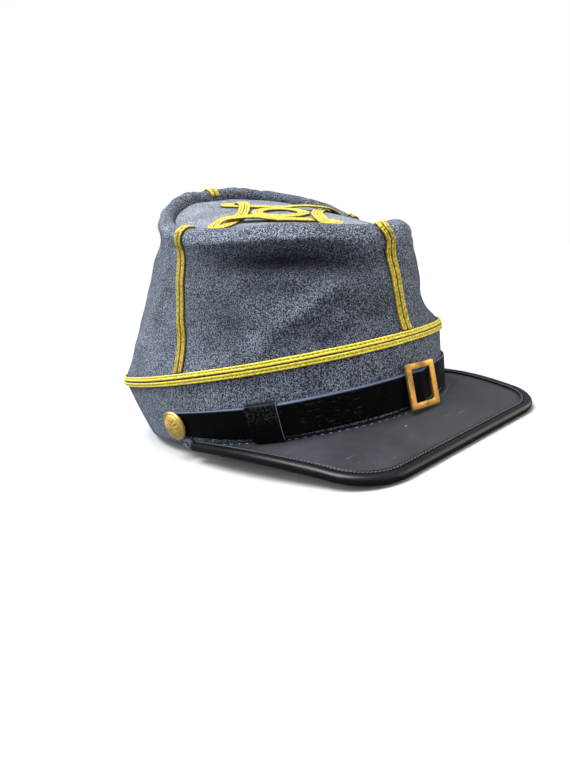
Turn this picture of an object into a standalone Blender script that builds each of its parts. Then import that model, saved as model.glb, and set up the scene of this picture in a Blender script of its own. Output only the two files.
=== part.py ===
"""A soft wool kepi: a rolled crown sloping to the front, yellow braid, a leather peak and a chin strap.

Metres. Every piece is drawn in the cap's own frame, whose origin is the middle of the braid ring, with +Z up
the band's axis and the front towards -Y. The empty at the end stands the cap on the floor as it rests by
itself, on the peak's front edge and the back of the band. Left and right are the wearer's.
"""

import math

import bmesh
import bpy
from mathutils import Matrix, Vector

# Driving dimensions.
RING_HALF_LENGTH = 0.103  # head outline at the braid ring, outside the cloth
RING_HALF_WIDTH = 0.0888
OVAL_SQUARENESS = 2.11  # 2 is an ellipse
EGG_SHIFT = 0.0064  # how far the widest place lies behind the middle
CLOTH = 0.002  # wool, with its backing
CLEAR = 0.0003  # between pieces that touch

BAND_HEIGHT = 0.0342
FOOT_HALF_LENGTH = 0.0992  # the band's lower edge
FOOT_HALF_WIDTH = 0.0832
FOOT_SHIFT = -0.00105

CREST_HALF_LENGTH = 0.0724  # the top line of the crown's roll
CREST_HALF_WIDTH = 0.0594
CREST_CENTRE = Vector((0.0, -0.0302, 0.0808))
CREST_TILT = math.radians(23.4)  # down to the front
CREST_TWIST = math.radians(2.15)
CREST_SAG = 0.0078  # how far the two sides hang below the front and the back
CREST_SKEW = 0.0038  # the soft crown leans: front right and back left stand higher
SEAM_LEAD = math.radians(20)  # the side seams stand this much nearer the front on the ring than on the crest

ROLL_HALF_WIDTH = 0.0055
ROLL_HALF_HEIGHT = 0.0055
ROLL_NECK = 0.85  # the neck under the roll, as a share of its half sizes
NECK_ANGLE = math.radians(-40)  # in the roll's section, where 0 is its outer side and 90 degrees its top
ROLL_FOOT_ANGLE = math.radians(200)

DISC_SINK = 0.0040
DISC_RIM_SINK = 0.0030
TURN_IN = 0.0024  # the side's upper edge, turned in under the disc and sewn to it
DISC_SIDE_TILT = 0.055
DISC_FORE_TILT = -0.02
DISC_DOME = 0.0008
DISC_SADDLE = 0.0029
DISC_SADDLE_REACH = 0.0515
DISC_RIM_TURN = 2.5  # how late, on the way out, the disc turns up to the roll
DISC_SHARES = (1.0, 0.86, 0.55, 0.12)  # its rings of points, as shares of the way out

BRAID_WIDTH = 0.0031
BRAID_HEIGHT = 0.0011
BRAID_PITCH = 0.0034  # between the middles of two rows
BRAID_SHOULDER = 0.0009  # the rounded edge of a row
SEAM_BRAID_COURSES = (0.085, 1.76)  # from just above the ring braid, over the roll, to the disc
SEAM_BRAID_STEPS = 16

KNOT_TIP = 0.0435  # the braid figure on the disc, to the middle of its two rows
KNOT_WAIST = 0.0205
KNOT_CURL = -0.0021  # widens the four loops
KNOT_LEAN = 0.006
KNOT_CROSSING = math.radians(29)
KNOT_CROSSING_SPREAD = math.radians(13)
KNOT_CROSSING_RISE = 0.0018
KNOT_RING_RADIUS = 0.0131

STRAP_TOP = -0.0164
STRAP_WIDTH = 0.0153
STRAP_THICKNESS = 0.0013
STRAP_END_THICKNESS = 0.0011
STRAP_END_RISE = 0.0022  # its lower edge climbs clear of the peak at the buttons
STRAP_CLIMB = math.radians(13)  # round the cap, how gently it climbs there and lifts over the keeper
STRAP_PAST_BUTTON = math.radians(4.5)
STRAP_POINT = 0.62  # the width of the strap's very ends, as a share
END_PAST_KEEPER = math.radians(3.5)
END_PAST_BUCKLE = math.radians(5.2)
BUTTON_ANGLE = math.radians(76)
BUTTON_HEIGHT = -0.0226
BUTTON_RADIUS = 0.0076
BUTTON_DOME = 0.0042
KEEPER_ANGLE = math.radians(-45.5)
KEEPER_LENGTH = 0.0142
KEEPER_THICKNESS = 0.001
KEEPER_ROOM = 0.0003
KEEPER_CORNER = 0.0003
BUCKLE_CENTRE = Vector((0.0028, -0.1056, -0.0236))
BUCKLE_SIZE = (0.0202, 0.0214)
BUCKLE_WINDOW = (0.0128, 0.0156)
BUCKLE_CORNER = 0.0012
BUCKLE_WINDOW_CORNER = 0.0004
BUCKLE_EDGE = 0.00025
BUCKLE_THICKNESS = 0.0013
BUCKLE_LEAN = math.radians(-3.5)
BUCKLE_FOOT_OUT = math.radians(3.9)

PEAK_THICKNESS = 0.0018
PEAK_JUNCTION = -0.0345
PEAK_END = Vector((0.0827, -0.0264, -0.0342))  # middle of the binding
PEAK_CORNER = Vector((0.0627, -0.1289, -0.0459))  # where its side and front lines would meet
PEAK_CORNER_RADIUS = 0.0235
PEAK_SIDE_BULGE = 0.0033
PEAK_ARCH = 0.0040  # how far its sides arch up between the end and the front
PEAK_END_ANGLE = math.radians(72.5)
BINDING_HALF_WIDTH = 0.0032
BINDING_HALF_HEIGHT = 0.0023
BINDING_GRIP = 0.0010  # the peak's edge stops this far inside the binding's middle line
PEAK_FOOT_BELOW = 0.0024  # from the binding's middle line down to where it stands on the floor
PEAK_SHARES = (0.0, 0.3, 0.65, 1.0)  # the peak's rows, as shares of the way out from the band
TAB_SIZE = (0.0052, 0.0012, 0.0050)
TAB_CORNER = 0.0005
TAB_BELOW = 0.0012  # how far it hangs below the band
TAB_ANGLE = math.radians(74.8)

BACK_REST = 0.085  # the band lies flat on the floor behind this line

AROUND = 60  # steps round the cap
SEAM_TURN = 0.0022  # each panel's edge stops this many radians short of its seam
ROUND_RING = 64  # steps of a braid ring

# The crown's wall, from the braid ring up to the neck under the roll.
# share of the way up, fullness outwards
WALL_ROWS = (
    (0.00, 0.0000),
    (0.07, -0.0002),
    (0.20, -0.0009),
    (0.38, -0.0006),
    (0.56, 0.0000),
    (0.72, 0.0008),
    (0.84, 0.0010),
    (0.93, 0.0003),
    (1.00, 0.0000),
)
ROLL_ROWS = tuple(math.radians(angle) for angle in (-12, 24, 60, 96, 132, 168))

# Soft dents (inwards, negative) and folds of the wall.
# name, angle round from the front, share up the wall, spread round, spread up, depth
FOLDS = (
    ("front left crease", 42, 0.36, 26, 0.22, -0.0042),
    ("front left fold", 48, 0.62, 22, 0.14, 0.0016),
    ("dent under the right roll", -48, 0.88, 34, 0.16, -0.0026),
    ("right panel fullness", -40, 0.45, 22, 0.22, 0.0016),
    ("right panel hollow", -66, 0.62, 16, 0.26, -0.0010),
    ("right seam hollow", -90, 0.25, 18, 0.18, -0.0012),
    ("back right hollow", -128, 0.68, 32, 0.28, -0.0021),
    ("notch under the back roll", -128, 0.89, 34, 0.07, -0.0018),
    ("back left dent", 130, 0.70, 30, 0.25, -0.0020),
)
# The crown's edge is not a plain curve.
# name, angle round from the front, spread round, rise of the roll's top line
CREST_WAVES = (
    ("right side hangs", -85, 30, -0.0019),
    ("right front", -12, 16, -0.0014),
    ("front left corner stands", 20, 20, 0.0038),
    ("left back", 107, 16, 0.0014),
    ("back left", 155, 20, -0.0015),
    ("back right", -160, 20, 0.0018),
)
# The roll is stuffed unevenly.
# name, angle round from the front, spread round, added to its half sizes, added to the neck's share of them
ROLL_LUMPS = (
    ("back left lump", 160, 16, 0.0010, 0.0),
    ("back right", -125, 24, -0.0008, 0.15),
    ("left side", 70, 36, -0.0010, 0.0),
    ("front", 0, 26, 0.0004, 0.25),
)


def signed_power(value, power):
    return math.copysign(abs(value) ** power, value)


def bell(offset, spread):
    return math.exp(-((offset / spread) ** 2))


def turn_between(first, second):
    """The smaller angle from second to first, in radians."""
    return math.remainder(first - second, math.tau)


def head_oval(angle, half_length, half_width):
    """A point of the egg-shaped head outline. Angle 0 is the front, and it grows towards the left."""
    power = 2 / OVAL_SQUARENESS
    across = half_width * signed_power(math.sin(angle), power)
    along = -half_length * signed_power(math.cos(angle), power)
    return Vector((across, along + EGG_SHIFT * (1 - (along / half_length) ** 2), 0.0))


def band_point(angle, height):
    """The band's outer face, from height 0 at the braid ring down to -BAND_HEIGHT."""
    ring = head_oval(angle, RING_HALF_LENGTH, RING_HALF_WIDTH)
    foot = head_oval(angle, FOOT_HALF_LENGTH, FOOT_HALF_WIDTH) + Vector((0, FOOT_SHIFT, 0))
    point = ring.lerp(foot, -height / BAND_HEIGHT)
    point.z = height
    return point


def band_frame(angle, height):
    """The band's outer face as (point, direction round it, outward normal)."""
    step = 1e-4
    round_it = (band_point(angle + step, height) - band_point(angle - step, height)).normalized()
    up_it = (band_point(angle, height + step) - band_point(angle, height - step)).normalized()
    return band_point(angle, height), round_it, round_it.cross(up_it).normalized()


def off_band(angle, height, stand_off):
    point, _, outward = band_frame(angle, height)
    return point + outward * stand_off


def ring_angle(round_angle):
    """The angle on the head outline under a place on the crest, so that the side seams run straight up."""
    return round_angle - SEAM_LEAD * math.sin(round_angle)


CREST_AXES = Matrix.Rotation(CREST_TILT, 3, "X") @ Matrix.Rotation(CREST_TWIST, 3, "Z")
CREST_UP = CREST_AXES @ Vector((0, 0, 1))


def crest_plane(across, along, up):
    return CREST_CENTRE + CREST_AXES @ Vector((across, along, up))


def crest_rise(round_angle):
    waves = sum(
        rise * bell(turn_between(round_angle, math.radians(centre)), math.radians(spread))
        for _, centre, spread, rise in CREST_WAVES
    )
    return waves - CREST_SKEW * math.sin(2 * round_angle) - CREST_SAG * math.sin(round_angle) ** 2


def crest_point(round_angle, inset=0.0, up=0.0):
    """A point beside the roll's top line: inset towards the middle, and up from the line."""
    across = CREST_HALF_WIDTH * math.sin(round_angle)
    along = -CREST_HALF_LENGTH * math.cos(round_angle)
    outward = Vector((across / CREST_HALF_WIDTH**2, along / CREST_HALF_LENGTH**2)).normalized()
    place = Vector((across, along)) - outward * inset
    return crest_plane(place.x, place.y, crest_rise(round_angle) + up)


def roll_size(round_angle):
    """The roll's half width and half height, and the neck's share of them."""
    added, neck = 0.0, ROLL_NECK
    for _, centre, spread, lump, neck_lump in ROLL_LUMPS:
        nearness = bell(turn_between(round_angle, math.radians(centre)), math.radians(spread))
        added += lump * nearness
        neck += neck_lump * nearness
    return ROLL_HALF_WIDTH + added, ROLL_HALF_HEIGHT + added, neck


def roll_point(round_angle, section_angle, share=1.0):
    """The roll's skin. Section angle 0 is its outer side, 90 degrees its top."""
    half_width, half_height, _ = roll_size(round_angle)
    outward = share * half_width * math.cos(section_angle)
    upward = share * half_height * math.sin(section_angle)
    return crest_point(round_angle, -outward, upward - ROLL_HALF_HEIGHT)


def fold_depth(round_angle, rise):
    return sum(
        depth
        * bell(turn_between(round_angle, math.radians(centre)), math.radians(spread))
        * bell(rise - height, spread_up)
        for _, centre, height, spread, spread_up, depth in FOLDS
    )


def wall_point(round_angle, rise):
    """The crown's wall between the braid ring, at rise 0, and the neck under the roll, at rise 1."""
    angle = ring_angle(round_angle)
    low = band_point(angle, 0.0) + Vector((0, 0, CLEAR / 2))
    neck = roll_point(round_angle, NECK_ANGLE, roll_size(round_angle)[2])
    outward = Vector((low.x / RING_HALF_WIDTH**2, low.y / RING_HALF_LENGTH**2, 0)).normalized()
    taper = min(1.0, rise / 0.1) * min(1.0, (1 - rise) / 0.05)  # nothing moves the two ends
    fullness = 0.0
    for (share, value), (next_share, next_value) in zip(WALL_ROWS, WALL_ROWS[1:]):
        if share <= rise <= next_share:
            fullness = value + (next_value - value) * (rise - share) / (next_share - share)
    return low.lerp(neck, rise) + outward * (fullness + taper * fold_depth(round_angle, rise))


def skin_point(round_angle, course):
    """The crown's whole outer skin: course 0 to 1 is the wall, 1 to 2 the roll down to its foot."""
    if course <= 1:
        return wall_point(round_angle, course)
    return roll_point(round_angle, NECK_ANGLE + (ROLL_FOOT_ANGLE - NECK_ANGLE) * (course - 1))


def disc_height(across, along):
    """The disc's upper face, above the plane of the crest. Its rim follows the roll."""
    reach = (across / CREST_HALF_WIDTH) ** 2 + (along / CREST_HALF_LENGTH) ** 2
    saddle = DISC_SADDLE * (across / DISC_SADDLE_REACH) ** 2
    middle = DISC_DOME * (1 - reach) - saddle - DISC_SINK + DISC_SIDE_TILT * across + DISC_FORE_TILT * along
    rim = crest_rise(math.atan2(across / CREST_HALF_WIDTH, -along / CREST_HALF_LENGTH)) - DISC_RIM_SINK
    return middle + (rim - middle) * min(1.0, reach**DISC_RIM_TURN)


def disc_point(across, along, up=0.0):
    return crest_plane(across, along, disc_height(across, along) + up)


def roll_side(round_angle, inset):
    """A place in the plane of the crest, as (across, along), this far in from the roll's inner side."""
    across = CREST_HALF_WIDTH * math.sin(round_angle)
    along = -CREST_HALF_LENGTH * math.cos(round_angle)
    outward = Vector((across / CREST_HALF_WIDTH**2, along / CREST_HALF_LENGTH**2)).normalized()
    return Vector((across, along)) - outward * (roll_size(round_angle)[0] + inset)


def material(name, colour, roughness, metallic=0.0):
    made = bpy.data.materials.new(name)
    made.use_nodes = True
    shader = made.node_tree.nodes["Principled BSDF"]
    shader.inputs["Base Color"].default_value = (*colour, 1.0)
    shader.inputs["Roughness"].default_value = roughness
    shader.inputs["Metallic"].default_value = metallic
    return made


def add_object(name, mesh, finish, smooth=40):
    mesh.shade_smooth()
    mesh.set_sharp_from_angle(angle=math.radians(smooth))
    mesh.materials.append(finish)
    made = bpy.data.objects.new(name, mesh)
    bpy.context.scene.collection.objects.link(made)
    return made


def grid(name, rows, finish, wrap_rows=False, wrap_columns=False, cap=()):
    """A skin of quads through rows of points. A wrapped direction closes on itself.

    Cap is the faces that fill the first and the last row, each as its points' places in the row.
    """
    bm = bmesh.new()
    made = [[bm.verts.new(point) for point in row] for row in rows]
    last_row = len(made) if wrap_rows else len(made) - 1
    last_column = len(made[0]) if wrap_columns else len(made[0]) - 1
    for i in range(last_row):
        row, next_row = made[i], made[(i + 1) % len(made)]
        for j in range(last_column):
            k = (j + 1) % len(row)
            bm.faces.new((row[j], row[k], next_row[k], next_row[j]))
    for row in (made[0], made[-1]):
        for face in cap:
            bm.faces.new([row[k] for k in face])
    bmesh.ops.recalc_face_normals(bm, faces=bm.faces)
    mesh = bpy.data.meshes.new(name)
    bm.to_mesh(mesh)
    bm.free()
    return add_object(name, mesh, finish)


def thicken(skin, thickness, side):
    """Solidify, on the side of the skin that its normals (1) or their backs (-1) point to."""
    wall = skin.modifiers.new("Wall", "SOLIDIFY")
    wall.thickness = thickness
    wall.offset = side
    wall.use_even_offset = True
    return skin


def face_outwards(skin, away_from):
    """Turns an open skin so that its normals point away from a place."""
    mesh = skin.data
    towards = sum(face.normal.dot(face.center - away_from) * face.area for face in mesh.polygons)
    if towards < 0:
        mesh.flip_normals()
    return skin


def braid(name, frames, finish, closed):
    """One row of flat braid along frames of (point on the cloth, direction across, outward normal)."""
    flat, edge = BRAID_WIDTH / 2, BRAID_WIDTH / 2 - BRAID_SHOULDER
    section = ((-flat, CLEAR), (-edge, CLEAR + BRAID_HEIGHT), (edge, CLEAR + BRAID_HEIGHT), (flat, CLEAR))
    rows = [[point + across * x + outward * y for x, y in section] for point, across, outward in frames]
    ends = () if closed else (range(len(section)),)
    return grid(name, rows, finish, wrap_rows=closed, wrap_columns=True, cap=ends)


def inner_skin(rows):
    """The same skin one cloth thickness further in. Its first row stays level with the outer one."""
    inner = []
    for i, row in enumerate(rows):
        below, above = rows[max(i - 1, 0)], rows[min(i + 1, len(rows) - 1)]
        made = []
        for j, point in enumerate(row):
            round_it = row[(j + 1) % len(row)] - row[j - 1]
            up_it = above[j] - below[j]
            inward = point - round_it.cross(up_it).normalized() * CLOTH
            if i == 0:
                inward += up_it * (point.z - inward.z) / up_it.z
            made.append(inward)
        inner.append(made)
    return inner


def make_crown(wool, pale_wool):
    """Four panels, which meet under the seam braids, and the disc that they are sewn to."""
    step = math.tau / AROUND
    quarter = AROUND // 4
    panels = ("front_left", "back_left", "back_right", "front_right")
    for panel, name in enumerate(panels):
        turns = [(panel * quarter + i) * step for i in range(-1, quarter + 2)]
        turns[1] += SEAM_TURN
        turns[-2] -= SEAM_TURN
        outer = [[wall_point(turn, rise) for turn in turns] for rise, _ in WALL_ROWS]
        outer += [[roll_point(turn, angle) for turn in turns] for angle in ROLL_ROWS]
        for inset in (0.0, TURN_IN):
            under_disc = [roll_side(turn, inset) for turn in turns]
            outer.append([disc_point(place.x, place.y, -1.1 * CLOTH - 1.5 * CLEAR) for place in under_disc])
        lining = inner_skin(outer)
        kept = [*range(0, len(outer) - 2, 2), len(outer) - 2, len(outer) - 1]  # the inside has every other row
        loop = outer + [lining[k] for k in reversed(kept)]
        sections = [[row[i] for row in loop] for i in range(1, len(turns) - 1)]
        cap = []
        for k, (low, high) in enumerate(zip(kept, kept[1:])):
            inside = len(loop) - 1 - k
            cap.append([*range(low, high + 1), inside - 1, inside])
        grid(f"crown_{name}", sections, wool, wrap_columns=True, cap=cap)

    edges = [roll_side(i * step, 1.5 * CLEAR) for i in range(AROUND)]
    upper = [[disc_point(edge.x * share, edge.y * share) for edge in edges] for share in DISC_SHARES]
    lower = [[point - CREST_UP * CLOTH for point in row] for row in upper]
    grid("crown_top", [*reversed(upper), *lower], pale_wool, wrap_columns=True, cap=(range(AROUND),))


def make_band(wool, floor_height):
    """An upright strip of cloth. Its lower edge is trimmed flat where the cap's back lies on the floor."""
    turns = [math.tau * i / AROUND for i in range(AROUND)]
    heights = (-CLEAR / 2, -BAND_HEIGHT)

    def wall(stand_off):
        rows = [[off_band(turn, height, stand_off) for turn in turns] for height in heights]
        for point in rows[0]:
            point.z = heights[0]
        for point in rows[-1]:
            point.z = max(-BAND_HEIGHT, floor_height(point.y))
        return rows

    grid("band", wall(0.0) + wall(-CLOTH)[::-1], wool, wrap_rows=True, wrap_columns=True)


def make_ring_braid(yellow):
    turns = [math.tau * i / ROUND_RING for i in range(ROUND_RING)]
    for name, height in (("band_braid_upper", BRAID_PITCH / 2), ("band_braid_lower", -BRAID_PITCH / 2)):
        frames = []
        for turn in turns:
            if height > 0:
                low, high = wall_point(turn, 0.0), wall_point(turn, 0.07)
                point = low.lerp(high, height / (high.z - low.z))
                beside = wall_point(turn + 1e-3, 0.0) - wall_point(turn - 1e-3, 0.0)
                outward = beside.cross(high - low).normalized()
            else:
                point, beside, outward = band_frame(ring_angle(turn), height)
            frames.append((point, outward.cross(beside).normalized(), outward))
        braid(name, frames, yellow, closed=True)


def make_seam_braids(yellow):
    """Two rows up each seam, over the roll and down to the disc."""
    seams = (("front", 0), ("left", 90), ("back", 180), ("right", -90))
    first, last = SEAM_BRAID_COURSES
    courses = [first + (last - first) * i / SEAM_BRAID_STEPS for i in range(SEAM_BRAID_STEPS + 1)]
    for seam, degrees in seams:
        turn = math.radians(degrees)
        for row, side in (("a", -1), ("b", 1)):
            frames = []
            for course in courses:
                point = skin_point(turn, course)
                beside = (skin_point(turn + 0.01, course) - skin_point(turn - 0.01, course)).normalized()
                along = (skin_point(turn, course + 0.02) - skin_point(turn, course - 0.02)).normalized()
                across = (beside - along * beside.dot(along)).normalized()
                outward = across.cross(along).normalized()
                frames.append((point + across * side * BRAID_PITCH / 2, across, outward))
            braid(f"seam_braid_{seam}_{row}", frames, yellow, closed=False)


def knot_path(turn):
    """The middle of the braid figure's two rows, as (across, along): four loops that cross at their necks."""
    base = (KNOT_TIP + KNOT_WAIST) / 2
    swing = (KNOT_TIP - KNOT_WAIST) / 2 - KNOT_CURL
    across = base * math.cos(turn) + swing * math.cos(3 * turn) + KNOT_CURL * math.cos(5 * turn)
    along = base * math.sin(turn) - swing * math.sin(3 * turn) + KNOT_CURL * math.sin(5 * turn)
    lean = KNOT_LEAN * max(0.0, along / KNOT_TIP) ** 2
    return Vector((across - lean, along))


def knot_rise(turn):
    """Each loop comes out over its own neck."""
    past_tip = math.remainder(turn, math.pi / 2)
    return KNOT_CROSSING_RISE * math.exp(-(((past_tip - KNOT_CROSSING) / KNOT_CROSSING_SPREAD) ** 4))


def disc_frames(turns, path, rise, offset):
    frames = []
    for turn in turns:
        tangent = (path(turn + 1e-3) - path(turn - 1e-3)).normalized()
        side = Vector((tangent.y, -tangent.x))
        place = path(turn) + side * offset
        point = disc_point(place.x, place.y, rise(turn))
        across = (disc_point(*(place + side * 1e-3)) - disc_point(*(place - side * 1e-3))).normalized()
        frames.append((point, across, CREST_UP))
    return frames


def make_top_knot(yellow):
    turns = [math.tau * i / 80 for i in range(80)]
    for name, side in (("top_knot_outer", 1), ("top_knot_inner", -1)):
        braid(name, disc_frames(turns, knot_path, knot_rise, side * BRAID_PITCH / 2), yellow, closed=True)
    turns = [math.tau * i / 28 for i in range(28)]
    for name, side in (("top_ring_outer", 1), ("top_ring_inner", -1)):
        braid(
            name,
            disc_frames(
                turns,
                lambda turn: Vector((math.cos(turn), math.sin(turn))) * KNOT_RING_RADIUS,
                lambda turn: 0.0,
                side * BRAID_PITCH / 2,
            ),
            yellow,
            closed=True,
        )


def peak_outline():
    """The middle line of the peak's binding, from the left end round the front to the right end."""
    end, corner = PEAK_END.to_2d(), PEAK_CORNER.to_2d()
    to_end = (end - corner).normalized()
    to_middle = Vector((-1.0, 0.0))
    half = to_end.angle(to_middle) / 2
    centre = corner + (to_end + to_middle).normalized() * PEAK_CORNER_RADIUS / math.sin(half)
    tangent = PEAK_CORNER_RADIUS / math.tan(half)
    side_end, front_end = corner + to_end * tangent, corner + to_middle * tangent
    side = []
    for i in range(9):
        share = i / 9
        point = end.lerp(side_end, share)
        side.append(point + Vector((PEAK_SIDE_BULGE * math.sin(math.pi * share), 0)))
    start, stop = side_end - centre, front_end - centre
    sweep = start.angle_signed(stop)
    arc = [centre + Matrix.Rotation(-sweep * i / 7, 2) @ start for i in range(8)]
    front = [front_end.lerp(Vector((0.0, front_end.y)), i / 4) for i in range(1, 5)]
    half_line = side + arc + front
    points = half_line + [Vector((-point.x, point.y)) for point in half_line[-2::-1]]
    return [Vector((point.x, point.y, peak_height(point.y))) for point in points]


def peak_height(along):
    """The peak's outer edge dips towards its front."""
    share = (PEAK_END.y - along) / (PEAK_END.y - PEAK_CORNER.y)
    level = PEAK_END.z + (PEAK_CORNER.z - PEAK_END.z) * share
    return level + PEAK_ARCH * 4 * share * (1 - share)


def room_beside_band(point):
    """How far a place lies outside the band's face, seen from above."""
    turns = [math.pi * i / 90 - math.pi for i in range(181)]
    return min((band_point(turn, PEAK_JUNCTION).to_2d() - point.to_2d()).length for turn in turns)


def make_peak(leather):
    outline = peak_outline()
    count = len(outline)
    lengths = [0.0]
    for first, second in zip(outline, outline[1:]):
        lengths.append(lengths[-1] + (second - first).length)
    inner = []
    for length in lengths:
        angle = PEAK_END_ANGLE * (1 - 2 * length / lengths[-1])
        inner.append(off_band(angle, PEAK_JUNCTION, CLEAR))
    half_widths = [min(BINDING_HALF_WIDTH, room_beside_band(point) - 1.5 * CLEAR) for point in outline]
    frames = []
    for i, point in enumerate(outline):
        along = (outline[min(i + 1, count - 1)] - outline[max(i - 1, 0)]).normalized()
        inward = inner[i] - point
        outward = -(inward - along * inward.dot(along)).normalized()
        frames.append((point, outward, along.cross(outward).normalized()))

    grips = [BINDING_GRIP * half / BINDING_HALF_WIDTH for half in half_widths]
    edges = [point - outward * grip for (point, outward, _), grip in zip(frames, grips)]
    rows = [[place.lerp(edge, share) for place, edge in zip(inner, edges)] for share in PEAK_SHARES]
    thicken(grid("visor", rows, leather), PEAK_THICKNESS, 0)

    # The binding is a strip folded round the edge: a C whose slot holds the plate.
    slot = PEAK_THICKNESS / 2 + CLEAR
    rows = []
    for (point, outward, up), half, grip in zip(frames, half_widths, grips):
        floor = grip - CLEAR
        section = (
            (-half, slot),
            (-0.7 * half, 0.92 * BINDING_HALF_HEIGHT),
            (0.2 * half, BINDING_HALF_HEIGHT),
            (0.85 * half, 0.55 * BINDING_HALF_HEIGHT),
            (0.85 * half, -0.55 * BINDING_HALF_HEIGHT),
            (0.2 * half, -BINDING_HALF_HEIGHT),
            (-0.7 * half, -0.92 * BINDING_HALF_HEIGHT),
            (-half, -slot),
            (-floor, -slot),
            (-floor, slot),
        )
        rows.append([point + outward * x + up * z for x, z in section])
    grid("visor_binding", rows, leather, wrap_columns=True, cap=(range(len(rows[0])),))


def strap_lift(angle):
    """How far the strap stands off the band: more where the keeper passes behind it."""
    room = KEEPER_THICKNESS + 2 * KEEPER_ROOM
    return CLEAR + room * bell(turn_between(angle, KEEPER_ANGLE), STRAP_CLIMB)


def strap_rows(first, last, steps, lift, width_share):
    """Rows across a strap from one angle round the band to another."""
    rows = []
    for i in range(steps + 1):
        angle = first + (last - first) * i / steps
        low = STRAP_TOP - STRAP_WIDTH + STRAP_END_RISE * bell(abs(angle) - BUTTON_ANGLE, STRAP_CLIMB)
        middle, half = (low + STRAP_TOP) / 2, (STRAP_TOP - low) / 2 * width_share(i)
        rows.append([off_band(angle, height, lift(angle)) for height in (middle - half, middle + half)])
    return rows


def make_strap(leather):
    reach = BUTTON_ANGLE + STRAP_PAST_BUTTON
    steps = 52
    strap = grid(
        "chin_strap",
        strap_rows(-reach, reach, steps, strap_lift, lambda i: STRAP_POINT if i in (0, steps) else 1.0),
        leather,
    )
    face_outwards(strap, Vector((0, 0, 0)))
    thicken(strap, STRAP_THICKNESS, 1)

    def end_lift(angle):
        return strap_lift(angle) + STRAP_THICKNESS + CLEAR

    first = KEEPER_ANGLE - END_PAST_KEEPER
    last = math.asin(BUCKLE_CENTRE.x / RING_HALF_WIDTH) + END_PAST_BUCKLE
    end = grid("strap_end", strap_rows(first, last, 36, end_lift, lambda i: 1.0), leather)
    face_outwards(end, Vector((0, 0, 0)))
    thicken(end, STRAP_END_THICKNESS, 1)


def make_keeper(leather):
    """A loop of leather round both layers of the strap."""
    height = STRAP_TOP - STRAP_WIDTH / 2
    _, round_it, outward = band_frame(KEEPER_ANGLE, height)
    half_turn = KEEPER_LENGTH / 2 / (band_point(KEEPER_ANGLE, height).to_2d().length)
    low = KEEPER_ROOM + KEEPER_THICKNESS
    high = strap_lift(KEEPER_ANGLE) + STRAP_THICKNESS + CLEAR + STRAP_END_THICKNESS + KEEPER_ROOM
    half = STRAP_WIDTH / 2 + KEEPER_ROOM
    loop = (
        (-half, low + KEEPER_CORNER),
        (-half + KEEPER_CORNER, low),
        (half - KEEPER_CORNER, low),
        (half, low + KEEPER_CORNER),
        (half, high - KEEPER_CORNER),
        (half - KEEPER_CORNER, high),
        (-half + KEEPER_CORNER, high),
        (-half, high - KEEPER_CORNER),
    )
    rows = []
    for share in (-1.0, -0.5, 0.0, 0.5, 1.0):
        angle = KEEPER_ANGLE + half_turn * share
        rows.append([off_band(angle, height + rise, stand_off) for rise, stand_off in loop])
    keeper = grid("strap_keeper", rows, leather, wrap_columns=True)
    face_outwards(keeper, band_point(KEEPER_ANGLE, height) + outward * (low + high) / 2)
    thicken(keeper, KEEPER_THICKNESS, 1)


def placed_on_band(angle, height, stand_off):
    """A frame on the band: +X round it to the left, +Y up it, +Z outwards."""
    point, round_it, outward = band_frame(angle, height)
    up = outward.cross(round_it)
    axes = Matrix((round_it, up, outward)).transposed().to_4x4()
    return Matrix.Translation(point + outward * stand_off) @ axes


def make_buckle(brass):
    bm = bmesh.new()

    def rectangle(width, height, corner):
        points = []
        for sign_x, sign_y, start in ((1, 1, 0), (-1, 1, 90), (-1, -1, 180), (1, -1, 270)):
            for degrees in (0, 45, 90):
                turn = math.radians(start + degrees)
                x = sign_x * (width / 2 - corner) + corner * math.cos(turn)
                y = sign_y * (height / 2 - corner) + corner * math.sin(turn)
                points.append(bm.verts.new((x, y, 0)))
        return points

    outer = rectangle(*BUCKLE_SIZE, BUCKLE_CORNER)
    inner = rectangle(*BUCKLE_WINDOW, BUCKLE_WINDOW_CORNER)
    for i in range(len(outer)):
        k = (i + 1) % len(outer)
        bm.faces.new((outer[i], outer[k], inner[k], inner[i]))
    made = bmesh.ops.extrude_face_region(bm, geom=bm.faces[:])
    raised = [item for item in made["geom"] if isinstance(item, bmesh.types.BMVert)]
    bmesh.ops.translate(bm, verts=raised, vec=(0, 0, BUCKLE_THICKNESS))
    bmesh.ops.recalc_face_normals(bm, faces=bm.faces)
    mesh = bpy.data.meshes.new("buckle")
    bm.to_mesh(mesh)
    bm.free()
    buckle = add_object("buckle", mesh, brass)
    edges = buckle.modifiers.new("Edges", "BEVEL")
    edges.width = BUCKLE_EDGE
    edges.segments = 1
    edges.limit_method = "ANGLE"
    edges.angle_limit = math.radians(50)
    upright = Matrix.Rotation(math.radians(90) - BUCKLE_FOOT_OUT, 4, "X")
    buckle.matrix_world = Matrix.Translation(BUCKLE_CENTRE) @ upright @ Matrix.Rotation(BUCKLE_LEAN, 4, "Z")


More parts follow.
